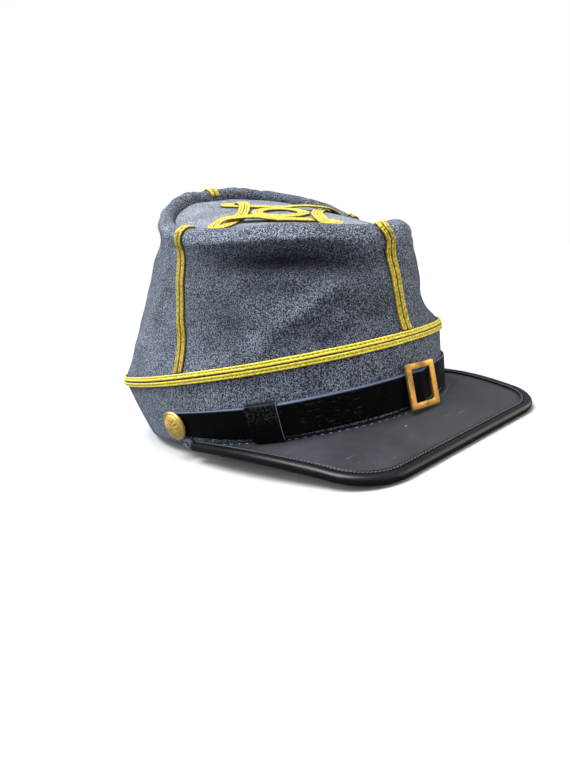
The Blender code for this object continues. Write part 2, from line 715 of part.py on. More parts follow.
def make_buttons(brass):
    """A domed button with a raised rim, turned from its profile."""
    # share of the radius, share of the dome's height
    profile = (
        (0.0, 1.0),
        (0.32, 0.95),
        (0.60, 0.80),
        (0.80, 0.60),
        (0.86, 0.49),
        (0.93, 0.52),
        (1.0, 0.37),
        (1.0, 0.19),
        (0.82, 0.0),
        (0.0, 0.0),
    )
    for name, side in (("side_button_right", -1), ("side_button_left", 1)):
        bm = bmesh.new()
        points = [bm.verts.new((BUTTON_RADIUS * x, 0, BUTTON_DOME * z)) for x, z in profile]
        edges = [bm.edges.new(pair) for pair in zip(points, points[1:])]
        turned = {"axis": (0, 0, 1), "cent": (0, 0, 0), "angle": math.tau, "steps": 20}
        bmesh.ops.spin(bm, geom=points + edges, use_merge=True, **turned)
        bmesh.ops.remove_doubles(bm, verts=bm.verts, dist=1e-6)
        bmesh.ops.recalc_face_normals(bm, faces=bm.faces)
        mesh = bpy.data.meshes.new(name)
        bm.to_mesh(mesh)
        bm.free()
        button = add_object(name, mesh, brass, smooth=50)
        stand_off = strap_lift(side * BUTTON_ANGLE) + STRAP_THICKNESS + CLEAR
        button.matrix_world = placed_on_band(side * BUTTON_ANGLE, BUTTON_HEIGHT, stand_off)


def make_tabs(leather):
    """The folded end of the binding's lining, tucked against the band at each end of the peak."""
    for name, side in (("visor_tab_right", -1), ("visor_tab_left", 1)):
        bm = bmesh.new()
        across, deep, high = TAB_SIZE
        bmesh.ops.create_cube(bm, size=1.0, matrix=Matrix.Diagonal((across, high, deep, 1)))
        bmesh.ops.bevel(bm, geom=bm.edges[:], offset=TAB_CORNER, segments=1, affect="EDGES")
        mesh = bpy.data.meshes.new(name)
        bm.to_mesh(mesh)
        bm.free()
        tab = add_object(name, mesh, leather)
        height = -BAND_HEIGHT + TAB_SIZE[2] / 2 - TAB_BELOW
        tab.matrix_world = placed_on_band(side * TAB_ANGLE, height, 1.5 * CLEAR + TAB_SIZE[1] / 2)


def world_box(objects):
    """Lowest and highest corners of what the objects' modifiers make."""
    graph = bpy.context.evaluated_depsgraph_get()
    low, high = Vector((math.inf,) * 3), Vector((-math.inf,) * 3)
    for item in objects:
        shown = item.evaluated_get(graph)
        for vertex in shown.to_mesh().vertices:
            point = shown.matrix_world @ vertex.co
            low = Vector(map(min, low, point))
            high = Vector(map(max, high, point))
        shown.to_mesh_clear()
    return low, high


def main():
    for item in list(bpy.data.objects):
        bpy.data.objects.remove(item)

    wool = material("Grey wool", (0.16, 0.18, 0.23), 0.95)
    pale_wool = material("Pale wool", (0.30, 0.31, 0.38), 0.95)
    yellow = material("Yellow braid", (0.75, 0.58, 0.03), 0.7)
    leather = material("Black leather", (0.02, 0.02, 0.022), 0.45)
    strap_leather = material("Strap leather", (0.012, 0.012, 0.013), 0.3)
    brass = material("Brass", (0.72, 0.48, 0.16), 0.35, 1.0)

    # The floor's line in the cap's frame, through the peak's front edge and the band's rest line.
    peak_foot = (PEAK_CORNER.y, PEAK_CORNER.z - PEAK_FOOT_BELOW)
    floor_slope = (-BAND_HEIGHT - peak_foot[1]) / (BACK_REST - peak_foot[0])

    make_crown(wool, pale_wool)
    make_band(wool, lambda along: -BAND_HEIGHT + floor_slope * (along - BACK_REST))
    make_ring_braid(yellow)
    make_seam_braids(yellow)
    make_top_knot(yellow)
    make_peak(leather)
    make_tabs(leather)
    make_strap(strap_leather)
    make_keeper(strap_leather)
    make_buckle(brass)
    make_buttons(brass)

    cap = bpy.data.objects.new("cap_at_rest", None)
    bpy.context.scene.collection.objects.link(cap)
    pieces = [item for item in bpy.data.objects if item.type == "MESH"]
    for piece in pieces:
        piece.parent = cap
    cap.rotation_euler.x = -math.atan(floor_slope)
    bpy.context.view_layer.update()
    low, high = world_box(pieces)
    cap.location = (-(low.x + high.x) / 2, -(low.y + high.y) / 2, -low.z)
    bpy.context.view_layer.update()


main()
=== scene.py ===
"""The looks of a soft wool kepi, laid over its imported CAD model: cloth, braid, leather and brass.

Metres. The cap is drawn in its own frame, whose origin is the middle of the braid ring, with +Z up the band's
axis and the front towards -Y, and is then stood up as it rests on the floor. Left and right are the wearer's.
"""

import math
import random

import bpy
import numpy as np
from mathutils import Matrix, Vector


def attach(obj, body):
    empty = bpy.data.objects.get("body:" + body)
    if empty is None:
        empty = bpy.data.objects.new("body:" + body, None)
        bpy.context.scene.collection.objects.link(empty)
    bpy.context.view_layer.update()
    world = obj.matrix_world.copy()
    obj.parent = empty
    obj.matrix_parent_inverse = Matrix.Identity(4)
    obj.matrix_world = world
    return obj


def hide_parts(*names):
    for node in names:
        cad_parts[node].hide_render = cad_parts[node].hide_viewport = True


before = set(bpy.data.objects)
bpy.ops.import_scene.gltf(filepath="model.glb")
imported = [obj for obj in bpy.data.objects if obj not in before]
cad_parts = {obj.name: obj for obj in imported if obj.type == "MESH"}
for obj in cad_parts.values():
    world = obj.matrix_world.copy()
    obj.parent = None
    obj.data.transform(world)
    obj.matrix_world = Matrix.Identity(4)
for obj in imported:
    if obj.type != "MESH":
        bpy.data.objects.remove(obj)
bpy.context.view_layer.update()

# How the cap stands. It rests by itself on the peak's front edge and on the back of the band, so the band's
# axis leans back a little.
STANDING_TURN = Matrix.Rotation(math.radians(-3.7714), 3, "X")
STANDING_PLACE = Vector((0.0, 0.01535, 0.03972))
STANDING = Matrix.Translation(STANDING_PLACE) @ STANDING_TURN.to_4x4()


# ----------------------------------------------------------------------------
# Camera, at the photograph's viewing angle. The photograph was taken from a little above the band, to the
# wearer's right of the front, with the camera turned on its side axis.
FRAME_WIDTH, FRAME_HEIGHT = 570, 760
FOCAL_PIXELS = 484.76
MIDDLE_PIXEL = (297.04, 376.42)
SENSOR = 36.0
NEAREST_SEEN = 0.01
VIEW_FROM = math.radians(-36.39)
VIEW_DOWN = math.radians(7.64)
VIEW_ROLL = math.radians(11.07)
VIEW_SHIFT = (-0.011866, 0.017665)
VIEW_DISTANCE = 0.305694

level = math.cos(VIEW_DOWN)
view_back = Vector((math.sin(VIEW_FROM) * level, -math.cos(VIEW_FROM) * level, math.sin(VIEW_DOWN)))
view_right = Vector((math.cos(VIEW_FROM), math.sin(VIEW_FROM), 0.0))
unrolled = Matrix((view_right, view_back.cross(view_right), view_back)).transposed()
view_axes = unrolled @ Matrix.Rotation(-VIEW_ROLL, 3, "Z")
view_place = view_axes @ Vector((-VIEW_SHIFT[0], -VIEW_SHIFT[1], VIEW_DISTANCE))

camera_data = bpy.data.cameras.new("Camera")
camera_data.sensor_fit = "AUTO"
camera_data.sensor_width = SENSOR
camera_data.lens = SENSOR * FOCAL_PIXELS / FRAME_HEIGHT
camera_data.shift_x = (FRAME_WIDTH / 2 - MIDDLE_PIXEL[0]) / FRAME_HEIGHT
camera_data.shift_y = (MIDDLE_PIXEL[1] - FRAME_HEIGHT / 2) / FRAME_HEIGHT
camera_data.clip_start = NEAREST_SEEN
camera = bpy.data.objects.new("Camera", camera_data)
camera.matrix_world = STANDING @ Matrix.Translation(view_place) @ view_axes.to_4x4()
bpy.context.scene.collection.objects.link(camera)
bpy.context.scene.camera = camera


# ----------------------------------------------------------------------------
# Studio: a plain white floor, a dim cool surround that looks white, and four broad soft lights far away: cool
# ones overhead, at the back left and in front, and a warm one on the right.
FLOOR_SIZE = 60.0
FLOOR_DROP = 0.0002  # below the cap's foot
FLOOR_SEEN = (0.40, 0.40, 0.40)
FLOOR_BOUNCE = (0.24, 0.24, 0.245)  # what it throws back on the cap, as from a darker table
FLOOR_MIRRORED = (0.06, 0.06, 0.062)  # and what shiny leather and brass show of it
SURROUND_TINT = (0.86, 0.93, 1.0)
SURROUND_LOW = 0.09  # its strength near the horizon
SURROUND_HIGH = 0.8  # and overhead
LIGHTS = (
    # name, direction it comes from, strength, width in degrees, colour, makes highlights
    ("overhead", (-0.30, 0.12, 0.90), 7.2, 40, (0.97, 0.985, 1.0), True),
    ("back left", (-0.72, 0.62, 0.32), 2.5, 50, (0.92, 0.96, 1.0), False),
    ("front", (-0.30, -0.92, 0.10), 1.4, 60, (0.97, 0.98, 1.0), False),
    ("right", (0.80, -0.62, 0.20), 2.7, 60, (1.0, 0.90, 0.78), True),
)


def node(tree, kind, inputs=None, **settings):
    """A shader node with its settings, and with each named input set or linked."""
    made = tree.nodes.new("ShaderNode" + kind)
    for name, value in settings.items():
        setattr(made, name, value)
    for name, value in (inputs or {}).items():
        if isinstance(value, bpy.types.NodeSocket):
            tree.links.new(value, made.inputs[name])
        else:
            made.inputs[name].default_value = value
    return made


def ramp(tree, value, low, high, to_low=0.0, to_high=1.0):
    """The value carried from one range to another, and held at its ends."""
    ends = {"Value": value, "From Min": low, "From Max": high, "To Min": to_low, "To Max": to_high}
    return node(tree, "MapRange", ends).outputs[0]


def mixed(tree, share, first, second, way="MIX"):
    """Two colours mixed, or multiplied. Each is three numbers or a socket."""
    first, second = ((*one, 1.0) if isinstance(one, tuple) else one for one in (first, second))
    inputs = {"Factor": share, 6: first, 7: second}
    return node(tree, "Mix", inputs, data_type="RGBA", blend_type=way).outputs[2]


def plain_material(name, colour, roughness, gloss=0.5):
    """A Principled material with its constants set, whose tree takes more nodes."""
    made = bpy.data.materials.new(name)
    made.use_nodes = True
    shader = made.node_tree.nodes["Principled BSDF"]
    shader.inputs["Base Color"].default_value = (*colour, 1.0)
    shader.inputs["Roughness"].default_value = roughness
    shader.inputs["Specular IOR Level"].default_value = gloss
    return made, made.node_tree, shader


def feed(tree, shader, **sources):
    """Links these to the shader's inputs. Colour is its base colour."""
    for name, source in sources.items():
        tree.links.new(source, shader.inputs["Base Color" if name == "Colour" else name])


bpy.ops.object.select_all(action="DESELECT")
bpy.ops.mesh.primitive_plane_add(size=FLOOR_SIZE, location=(0, 0, -FLOOR_DROP))
floor = bpy.context.object
floor.name = "floor"
floor_white, tree, shader = plain_material("Floor white", FLOOR_SEEN, 0.9, gloss=0.0)
ray = node(tree, "LightPath").outputs
bounced = mixed(tree, ray["Is Glossy Ray"], FLOOR_BOUNCE, FLOOR_MIRRORED)
feed(tree, shader, Colour=mixed(tree, ray["Is Camera Ray"], bounced, FLOOR_SEEN))
floor.data.materials.append(floor_white)

surround = bpy.data.worlds.new("Surround")
surround.use_nodes = True
tree = surround.node_tree
seen = tree.nodes["Background"]
seen.inputs["Color"].default_value = (1.0, 1.0, 1.0, 1.0)
seen.inputs["Strength"].default_value = 1.0
height = node(tree, "SeparateXYZ", {0: node(tree, "TexCoord").outputs["Generated"]}).outputs["Z"]
glow = ramp(tree, height, 0.05, 0.9, SURROUND_LOW, SURROUND_HIGH)
lit = node(tree, "Background", {"Color": (*SURROUND_TINT, 1.0), "Strength": glow}).outputs[0]
to_camera = node(tree, "LightPath").outputs["Is Camera Ray"]
both = node(tree, "MixShader", {0: to_camera, 1: lit, 2: seen.outputs[0]}).outputs[0]
tree.links.new(both, tree.nodes["World Output"].inputs["Surface"])
bpy.context.scene.world = surround

for name, toward, strength, softness, colour, highlights in LIGHTS:
    lamp_data = bpy.data.lights.new(name, "SUN")
    lamp_data.energy = strength
    lamp_data.angle = math.radians(softness)
    lamp_data.color = colour
    lamp = bpy.data.objects.new(name, lamp_data)
    lamp.rotation_euler = Vector(toward).to_track_quat("Z", "Y").to_euler()
    lamp.visible_glossy = highlights
    bpy.context.scene.collection.objects.link(lamp)
bpy.context.scene.view_settings.view_transform = "Standard"


# ----------------------------------------------------------------------------
# The head band: one upright strip of heathered blue-grey wool, felted so that no weave shows. Its lower edge
# is turned under, and is pressed flat where the cap's back lies on the floor.
RING_HALF_LENGTH = 0.103  # head outline at the braid ring, outside the cloth
RING_HALF_WIDTH = 0.0888
OVAL_SQUARENESS = 2.11  # 2 is an ellipse
EGG_SHIFT = 0.0064  # how far the widest place lies behind the middle
BAND_HEIGHT = 0.0342
FOOT_HALF_LENGTH = 0.0992  # the band's lower edge
FOOT_HALF_WIDTH = 0.0832
FOOT_SHIFT = -0.00105
CLOTH = 0.002
CLEAR = 0.0003  # between pieces that touch
# name, degrees round from the front, spread, share down where it is full, how far out
BAND_TUCKS = (
    ("front left fullness", 54, 13, 0.9, 0.0020),
    ("back right tuck", -112, 26, 1.0, -0.0026),
)


def head_oval(angle, half_length, half_width):
    """The egg-shaped head outline as (across, along). Angle 0 is the front, and it grows towards the left."""
    power = 2 / OVAL_SQUARENESS
    across = half_width * np.sign(np.sin(angle)) * np.abs(np.sin(angle)) ** power
    along = -half_length * np.sign(np.cos(angle)) * np.abs(np.cos(angle)) ** power
    return across, along + EGG_SHIFT * (1 - (along / half_length) ** 2)


def bell(offset, spread):
    """1 at no offset, falling away smoothly to both sides."""
    return np.exp(-((offset / spread) ** 2))


def turn_from(angle, degrees):
    """The smaller angle from a place round the cap, in degrees."""
    return (np.degrees(angle) - degrees + 180) % 360 - 180


def band_point(angle, height):
    """The band's outer face, from height 0 at the braid ring down to -BAND_HEIGHT."""
    angle, height = np.broadcast_arrays(angle, height)
    ring = head_oval(angle, RING_HALF_LENGTH, RING_HALF_WIDTH)
    foot = head_oval(angle, FOOT_HALF_LENGTH, FOOT_HALF_WIDTH)
    down = -height / BAND_HEIGHT
    across = ring[0] + (foot[0] - ring[0]) * down
    along = ring[1] + (foot[1] + FOOT_SHIFT - ring[1]) * down
    drawn_in = 0.0
    for _, degrees, spread, first, depth in BAND_TUCKS:
        growing = np.clip(down / first, 0, None) ** 2
        drawn_in = drawn_in + depth * bell(turn_from(angle, degrees), spread) * growing
    shrink = 1 + drawn_in / FOOT_HALF_LENGTH
    return np.stack([across * shrink, along * shrink, height], axis=-1)


def unit(vectors):
    return vectors / np.linalg.norm(vectors, axis=-1, keepdims=True)


def facing(surface, first, second, step=1e-4):
    """The directions in which a surface's two measures grow, and its outward normal."""
    along_first = unit(surface(first + step, second) - surface(first - step, second))
    along_second = unit(surface(first, second + step) - surface(first, second - step))
    return along_first, along_second, unit(np.cross(along_first, along_second))


def off_band(angle, height, stand_off):
    angle, height = np.broadcast_arrays(np.asarray(angle, float), height)
    outward = facing(band_point, angle, height)[2]
    return band_point(angle, height) + outward * np.asarray(stand_off)[..., None]


def laid(name, points, measures=None, sew_rows=False, sew_columns=False, painted_light_and_wear=None):
    """A grid primitive laid over rows of points, sewn together where a direction closes on itself.

    Measures, if given, are the two numbers of the piece's own UV map at each point. The painted light and
    wear, if given, is kept as an attribute of the piece: on wool, how much paler or darker it is painted, as
    light and shade; on a braid, how far it has its own colour rather than its darker one, which on the seams
    is painted shade.
    """
    if measures is None:
        rows, columns = np.meshgrid(*(np.linspace(0, 1, count) for count in points.shape[:2]), indexing="ij")
        measures = np.stack([rows, columns], axis=-1)
    if sew_rows:
        step = measures[-1:] - measures[-2:-1]
        measures = np.concatenate([measures, measures[-1:] + step])
        points = np.concatenate([points, points[:1]])
        painted_light_and_wear = None if painted_light_and_wear is None else np.concatenate([painted_light_and_wear, painted_light_and_wear[:1]])
    if sew_columns:
        step = measures[:, -1:] - measures[:, -2:-1]
        measures = np.concatenate([measures, measures[:, -1:] + step], axis=1)
        points = np.concatenate([points, points[:, :1]], axis=1)
        painted_light_and_wear = None if painted_light_and_wear is None else np.concatenate([painted_light_and_wear, painted_light_and_wear[:, :1]], axis=1)
    rows, columns = points.shape[:2]
    bpy.ops.object.select_all(action="DESELECT")
    bpy.ops.mesh.primitive_grid_add(x_subdivisions=rows - 1, y_subdivisions=columns - 1, size=1.0)
    piece = bpy.context.object
    piece.name = name
    piece.data.name = name
    flat = np.empty(len(piece.data.vertices) * 3)
    piece.data.vertices.foreach_get("co", flat)
    row = np.rint((flat[0::3] + 0.5) * (rows - 1)).astype(int)
    column = np.rint((flat[1::3] + 0.5) * (columns - 1)).astype(int)
    standing = points[row, column] @ np.array(STANDING_TURN).T + np.array(STANDING_PLACE)
    piece.data.vertices.foreach_set("co", standing.ravel())
    # Painted light and shade, kept as an attribute that the piece's material reads.
    if painted_light_and_wear is not None:
        wear = piece.data.attributes.new("Painted_light_and_wear", "FLOAT", "POINT")
        wear.data.foreach_set("value", painted_light_and_wear[row, column])
    corners = np.empty(len(piece.data.loops), int)
    piece.data.loops.foreach_get("vertex_index", corners)
    piece.data.uv_layers[0].data.foreach_set("uv", measures[row, column][corners].ravel())
    bpy.ops.object.mode_set(mode="EDIT")
    bpy.ops.mesh.select_all(action="SELECT")
    bpy.ops.mesh.remove_doubles(threshold=1e-6)
    bpy.ops.mesh.normals_make_consistent(inside=False)
    bpy.ops.object.mode_set(mode="OBJECT")
    bpy.ops.object.shade_smooth()
    return piece


def maths(tree, operation, *values):
    return node(tree, "Math", dict(enumerate(values)), operation=operation).outputs[0]


def noise(tree, place, scale, detail, roughness=0.5, distortion=0.0):
    inputs = {"Vector": place, "Scale": scale, "Detail": detail}
    return node(tree, "TexNoise", {**inputs, "Roughness": roughness, "Distortion": distortion}).outputs["Fac"]


def object_place(tree):
    return node(tree, "TexCoord").outputs["Object"]


def bump(tree, height, distance, strength):
    inputs = {"Strength": strength, "Distance": distance, "Height": height}
    return node(tree, "Bump", inputs).outputs["Normal"]


def shader_group(name, given, made):
    """An empty group of nodes, what it is given, and the inputs of its outlet."""
    tree = bpy.data.node_groups.new(name, "ShaderNodeTree")
    for way, sockets in (("INPUT", given), ("OUTPUT", made)):
        for socket, kind in sockets.items():
            tree.interface.new_socket(socket, in_out=way, socket_type="NodeSocket" + kind)
    return tree, tree.nodes.new("NodeGroupInput").outputs, tree.nodes.new("NodeGroupOutput").inputs


# how fine each layer of curly fibres is, a fibre's share of its width, and how far the layer is moved aside
WOOL_FIBRES = ((300.0, 0.030, 3.1), (430.0, 0.034, 7.7), (610.0, 0.040, 12.3))


def heathered_wool_group():
    """Felted wool spun from dark and light fibres: salt and pepper specks under curly pale fibres, mottled."""
    inputs = {"Dark": "Color", "Middle": "Color", "Light": "Color", "Size": "Float"}
    tree, given, outlet = shader_group("Heathered wool", inputs, {"Color": "Color", "Height": "Float"})
    place = object_place(tree)
    sized = node(tree, "VectorMath", {0: place, "Scale": given["Size"]}, operation="SCALE").outputs["Vector"]
    specks = noise(tree, sized, 1250.0, 1.5, 0.6)
    clumps = noise(tree, sized, 170.0, 2.0)
    salt = ramp(tree, maths(tree, "MULTIPLY_ADD", clumps, 0.35, specks), 0.60, 0.74)
    ground = mixed(tree, salt, given["Dark"], given["Middle"])
    fibres = 0.0
    for scale, width, aside in WOOL_FIBRES:
        move = {0: sized, 1: (aside, aside * 2, 1.0)}
        moved = node(tree, "VectorMath", move, operation="ADD").outputs["Vector"]
        curl = maths(tree, "SUBTRACT", noise(tree, moved, scale, 2.0, 0.55, 1.2), 0.5)
        layer = ramp(tree, maths(tree, "ABSOLUTE", curl), width, width * 0.45)
        fibres = maths(tree, "MAXIMUM", fibres, layer)
    shown = ramp(tree, noise(tree, sized, 800.0, 1.0), 0.43, 0.56)
    fibres = maths(tree, "MULTIPLY", fibres, shown)
    cloth = mixed(tree, fibres, ground, given["Light"])
    mottle = ramp(tree, noise(tree, place, 60.0, 3.0), 0.3, 0.7, 0.78, 1.22)
    tree.links.new(mixed(tree, 1.0, cloth, mottle, "MULTIPLY"), outlet["Color"])
    tree.links.new(maths(tree, "MULTIPLY_ADD", fibres, 0.8, salt), outlet["Height"])
    return tree


heathered_wool = heathered_wool_group()


def wool_material(name, dark, middle, light, size, nap):
    """Wool cloth whose nap catches light at a glance, in its own three fibre colours."""
    made, tree, shader = plain_material(name, light, 0.95, gloss=0.12)
    shader.inputs["Sheen Weight"].default_value = 0.12
    shader.inputs["Sheen Roughness"].default_value = 0.5
    shader.inputs["Sheen Tint"].default_value = (0.75, 0.82, 0.95, 1.0)
    inputs = {"Dark": (*dark, 1.0), "Middle": (*middle, 1.0), "Light": (*light, 1.0), "Size": size}
    cloth = node(tree, "Group", inputs, node_tree=heathered_wool).outputs
    # The piece's painted light and shade make the cloth paler or darker.
    wear = maths(tree, "ADD", node(tree, "Attribute", attribute_name="Painted_light_and_wear").outputs["Fac"], 1.0)
    cloth_with_painted_light = mixed(tree, 1.0, cloth["Color"], wear, "MULTIPLY")
    feed(tree, shader, Colour=cloth_with_painted_light, Normal=bump(tree, cloth["Height"], nap, 0.7))
    return made


wool = wool_material(
    "Heathered wool", (0.0015, 0.002, 0.004), (0.020, 0.025, 0.037), (0.235, 0.262, 0.322), 1.9, 0.0005
)

BAND_COLUMNS = 300
CLOSE_ROWS_END, WIDE_ROWS_START = 0.0060, 0.0075  # rows of points lie close together along the painted shadow line
BRAID_SHADOW_HEIGHT = -0.0031  # painted shadow: a dark line just below the braid's lower edge
BRAID_SHADOW_REACH = 0.00045
BRAID_SHADOW_DARKNESS = -1.38
BAND_PAINTED_PALER = 0.42  # painted light: the band is painted this much paler than the crown's cloth
FRONT_PAINTED_PALER = 0.25  # and this much more round the front, also painted light
FRONT_MIDDLE, FRONT_REACH = -5, 30  # degrees
outer_heights = np.concatenate(
    [np.linspace(-CLEAR / 2, -CLOSE_ROWS_END, 13), np.linspace(-WIDE_ROWS_START, -BAND_HEIGHT + CLOTH / 2, 15)]
)
turned_under = np.linspace(0, math.pi, 7)[1:-1]
inner_heights = outer_heights[::-2]
edge_heights = -BAND_HEIGHT + CLOTH / 2 * (1 - np.sin(turned_under))
edge_depths = -CLOTH / 2 * (1 - np.cos(turned_under))
band_heights = np.concatenate([outer_heights, edge_heights, inner_heights])
band_depths = np.concatenate([np.zeros_like(outer_heights), edge_depths, np.full_like(inner_heights, -CLOTH)])
band_angles = np.arange(BAND_COLUMNS) * math.tau / BAND_COLUMNS
outside = band_depths == 0  # the inside is left without painted light and shade
# The band's painted light and shade: paler than the crown's cloth, more so round the front, with a painted
# shadow line under the braid.
band_shadow_and_light = (BAND_PAINTED_PALER + BRAID_SHADOW_DARKNESS * bell(band_heights - BRAID_SHADOW_HEIGHT, BRAID_SHADOW_REACH)) * outside
in_front = bell(turn_from(band_angles, FRONT_MIDDLE), FRONT_REACH)[:, None]
band_painted_shading = band_shadow_and_light + FRONT_PAINTED_PALER * in_front * outside
band_skin = off_band(band_angles[:, None], band_heights, band_depths)
band = laid("head_band", band_skin, sew_rows=True, sew_columns=True, painted_light_and_wear=band_painted_shading)
for vertex in band.data.vertices:
    vertex.co.z = max(vertex.co.z, 0.0)
band.data.materials.append(wool)
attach(band, "root")
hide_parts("band")


# ----------------------------------------------------------------------------
# The crown's side: four panels of the same wool, sewn up the front, the back and both sides into one soft
# wall. Its upper edge is rolled over a stuffing cord. The cap is worn in, so the wall leans, sags and has soft
# folds.
CREST_HALF_LENGTH = 0.0724  # the roll's top line
CREST_HALF_WIDTH = 0.0594
CREST_CENTRE = np.array((0.0, -0.0302, 0.0808))
CREST_TILT = math.radians(23.4)  # down to the front
CREST_TWIST = math.radians(2.15)
CREST_SAG = 0.0078
CREST_SKEW = 0.0038
SEAM_LEAD = math.radians(20)
ROLL_HALF_WIDTH = 0.0055
ROLL_HALF_HEIGHT = 0.0055
ROLL_NECK = 0.85
NECK_ANGLE = math.radians(-40)
NECK_END = math.radians(-8)  # from here on the roll has its full size
ROLL_FOOT_ANGLE = math.radians(200)
DISC_SINK = 0.0062
DISC_RIM_SINK = 0.0052
TURN_IN = 0.0024
DISC_SIDE_TILT = 0.055
DISC_FORE_TILT = -0.02
DISC_DOME = 0.0008
DISC_SADDLE = 0.0029
DISC_SADDLE_REACH = 0.0515
DISC_RIM_TURN = 2.5
# share of the way up the wall, fullness outwards
WALL_FULLNESS = (
    (0.00, 0.0000), (0.07, -0.0002), (0.20, -0.0009), (0.38, -0.0006), (0.56, 0.0000), (0.72, 0.0008),
    (0.84, 0.0010), (0.93, 0.0003), (1.00, 0.0000),
)
# name, degrees round from the front, share up the wall, spread round, spread up, depth
WALL_FOLDS = (
    ("front left crease", 42, 0.30, 26, 0.20, -0.0026),
    ("front left fold", 48, 0.62, 22, 0.14, 0.0001),
    ("dent under the right roll", -44, 0.84, 34, 0.13, -0.0048),
    ("right panel fullness", -40, 0.45, 22, 0.22, 0.0016),
    ("right panel hollow", -66, 0.62, 16, 0.26, -0.0010),
    ("right seam hollow", -90, 0.25, 18, 0.18, -0.0012),
    ("back right hollow", -128, 0.68, 32, 0.28, -0.0021),
    ("notch under the back roll", -128, 0.89, 34, 0.07, -0.0018),
    ("back left dent", 130, 0.70, 30, 0.25, -0.0020),
)
# soft folds that run aslant: name, from degrees and share up, to degrees and share up, half width, depth
WALL_CREASES = (
    ("pale fold across the right panel", -60, 0.16, -27, 0.62, 0.0055, 0.0016),
    ("hollow behind that fold", -56, 0.66, -43, 0.57, 0.0065, -0.0020),
    ("hollow before that fold", -44, 0.22, -26, 0.42, 0.0050, -0.0011),
    ("hollow over the braid", -38, 0.10, -27, 0.17, 0.0045, -0.0014),
    ("hollow beside the front seam", -16, 0.28, -8, 0.40, 0.0050, -0.0012),
    ("fold on the back right panel", -118, 0.20, -100, 0.70, 0.0060, 0.0012),
    ("hollow on the back right panel", -104, 0.25, -96, 0.60, 0.0050, -0.0010),
    ("fold at the back", 172, 0.30, -150, 0.75, 0.0070, 0.0015),
    ("hollow at the back", 165, 0.15, -170, 0.40, 0.0060, -0.0013),
    ("fold on the left panel", 70, 0.25, 108, 0.65, 0.0070, 0.0015),
    ("hollow on the left panel", 82, 0.20, 120, 0.50, 0.0060, -0.0015),
    ("fold on the back left panel", 128, 0.25, 150, 0.60, 0.0060, -0.0013),
)
PANEL_RADIUS = 0.085  # to measure slanting folds by
PANEL_RISE = 0.065
# name, degrees round from the front, course, spread round, how far out the roll's lower edge hangs
SHOULDERS = (
    ("near right", -44, 1.10, 30, 0.0036),
    ("front left corner", 42, 0.98, 26, 0.0024),
    ("back left", 128, 1.05, 30, 0.0012),
)
# name, degrees round from the front, spread round, depth of a short wrinkle over the roll's inner side
ROLL_WRINKLES = (
    ("back right", -172, 1.8, -0.0007),
    ("back right", -165, 1.5, -0.0009),
    ("back right", -158, 1.7, -0.0009),
    ("back right", -150, 1.6, -0.0010),
    ("back right", -141, 1.8, -0.0008),
    ("back left", 160, 1.8, -0.0008),
    ("back left", 146, 1.7, -0.0008),
    ("left", 118, 1.8, -0.0006),
    ("front left", 40, 1.8, -0.0007),
    ("front left", 28, 1.6, -0.0006),
)
# painted light and shade: name, degrees round from the front, course, spread round, spread in courses,
# how much paler or darker it is painted
CROWN_PAINTED_LIGHT = (
    ("roll", 0, 1.45, 999, 0.35, 0.38),
    ("walls", 0, 0.40, 999, 0.35, -0.10),
    ("darker behind the right seam", -70, 0.50, 13, 0.30, -0.28),
    ("painted shade in the dent", -44, 0.87, 33, 0.12, -0.92),
    ("behind the pale fold", -50, 0.64, 9, 0.06, -0.35),
    ("over the braid", -34, 0.12, 8, 0.05, -0.30),
    ("beside the front seam", -11, 0.34, 7, 0.06, -0.25),
    ("painted light on the front roll", 6, 1.20, 20, 0.28, 0.55),
    ("painted light on the front left panel", 16, 0.55, 13, 0.40, 0.50),
    ("painted light on the right roll", -60, 1.28, 50, 0.20, 0.45),
    ("painted light on the front left roll", 25, 1.25, 30, 0.25, 0.30),
    ("painted light on the back roll", -125, 1.30, 45, 0.30, 0.25),
    ("painted light on the left roll", 120, 1.35, 60, 0.30, 0.25),
    ("painted light on the back right panel", -112, 0.35, 16, 0.40, 0.25),
    ("painted light on the pale fold", -45, 0.38, 10, 0.10, 0.20),
)
# name, degrees round from the front, spread round, rise of the roll's top line
CREST_WAVES = (
    ("right side hangs", -85, 30, -0.0019),
    ("right front", -12, 16, -0.0014),
    ("front left corner stands", 20, 20, 0.0038),
    ("left back", 107, 16, 0.0014),
    ("back left", 155, 20, -0.0015),
    ("back right", -160, 20, 0.0018),
    ("beside the back seam", -176, 12, -0.0018),
    ("left seam", 88, 14, -0.0012),
)
# name, degrees round from the front, spread round, added to the roll's half sizes, added to the neck's share
ROLL_LUMPS = (
    ("back left lump", 160, 16, 0.0010, 0.0),
    ("back right", -125, 24, -0.0008, 0.15),
    ("left side", 70, 36, -0.0010, 0.0),
    ("front", 0, 26, 0.0004, 0.25),
)
CLOTH_WAVES = 14
WAVE_LENGTHS = (0.013, 0.034)
WAVE_SHARE = 5.0
WALL_UNEVENNESS = 0.00028
HELD_BELOW, HELD_ABOVE = 0.1, 0.05  # shares of the wall that the seams at its two edges hold


def smooth_table(table, where):
    """A curve through a table's points, with no corners."""
    at, value = (np.array(column) for column in zip(*table))
    slope = np.gradient(value, at)
    k = np.clip(np.searchsorted(at, where) - 1, 0, len(at) - 2)
    gap = at[k + 1] - at[k]
    share = np.clip((where - at[k]) / gap, 0, 1)
    eased = share * share * (3 - 2 * share)
    rise = share * (1 - share) ** 2 * gap * slope[k] - share**2 * (1 - share) * gap * slope[k + 1]
    return value[k] * (1 - eased) + value[k + 1] * eased + rise


crest_axes = np.array(Matrix.Rotation(CREST_TILT, 3, "X") @ Matrix.Rotation(CREST_TWIST, 3, "Z"))
CREST_UP = crest_axes[:, 2]


def crest_plane(across, along, up):
    across, along, up = np.broadcast_arrays(across, along, up)
    return CREST_CENTRE + np.stack([across, along, up], axis=-1) @ crest_axes.T


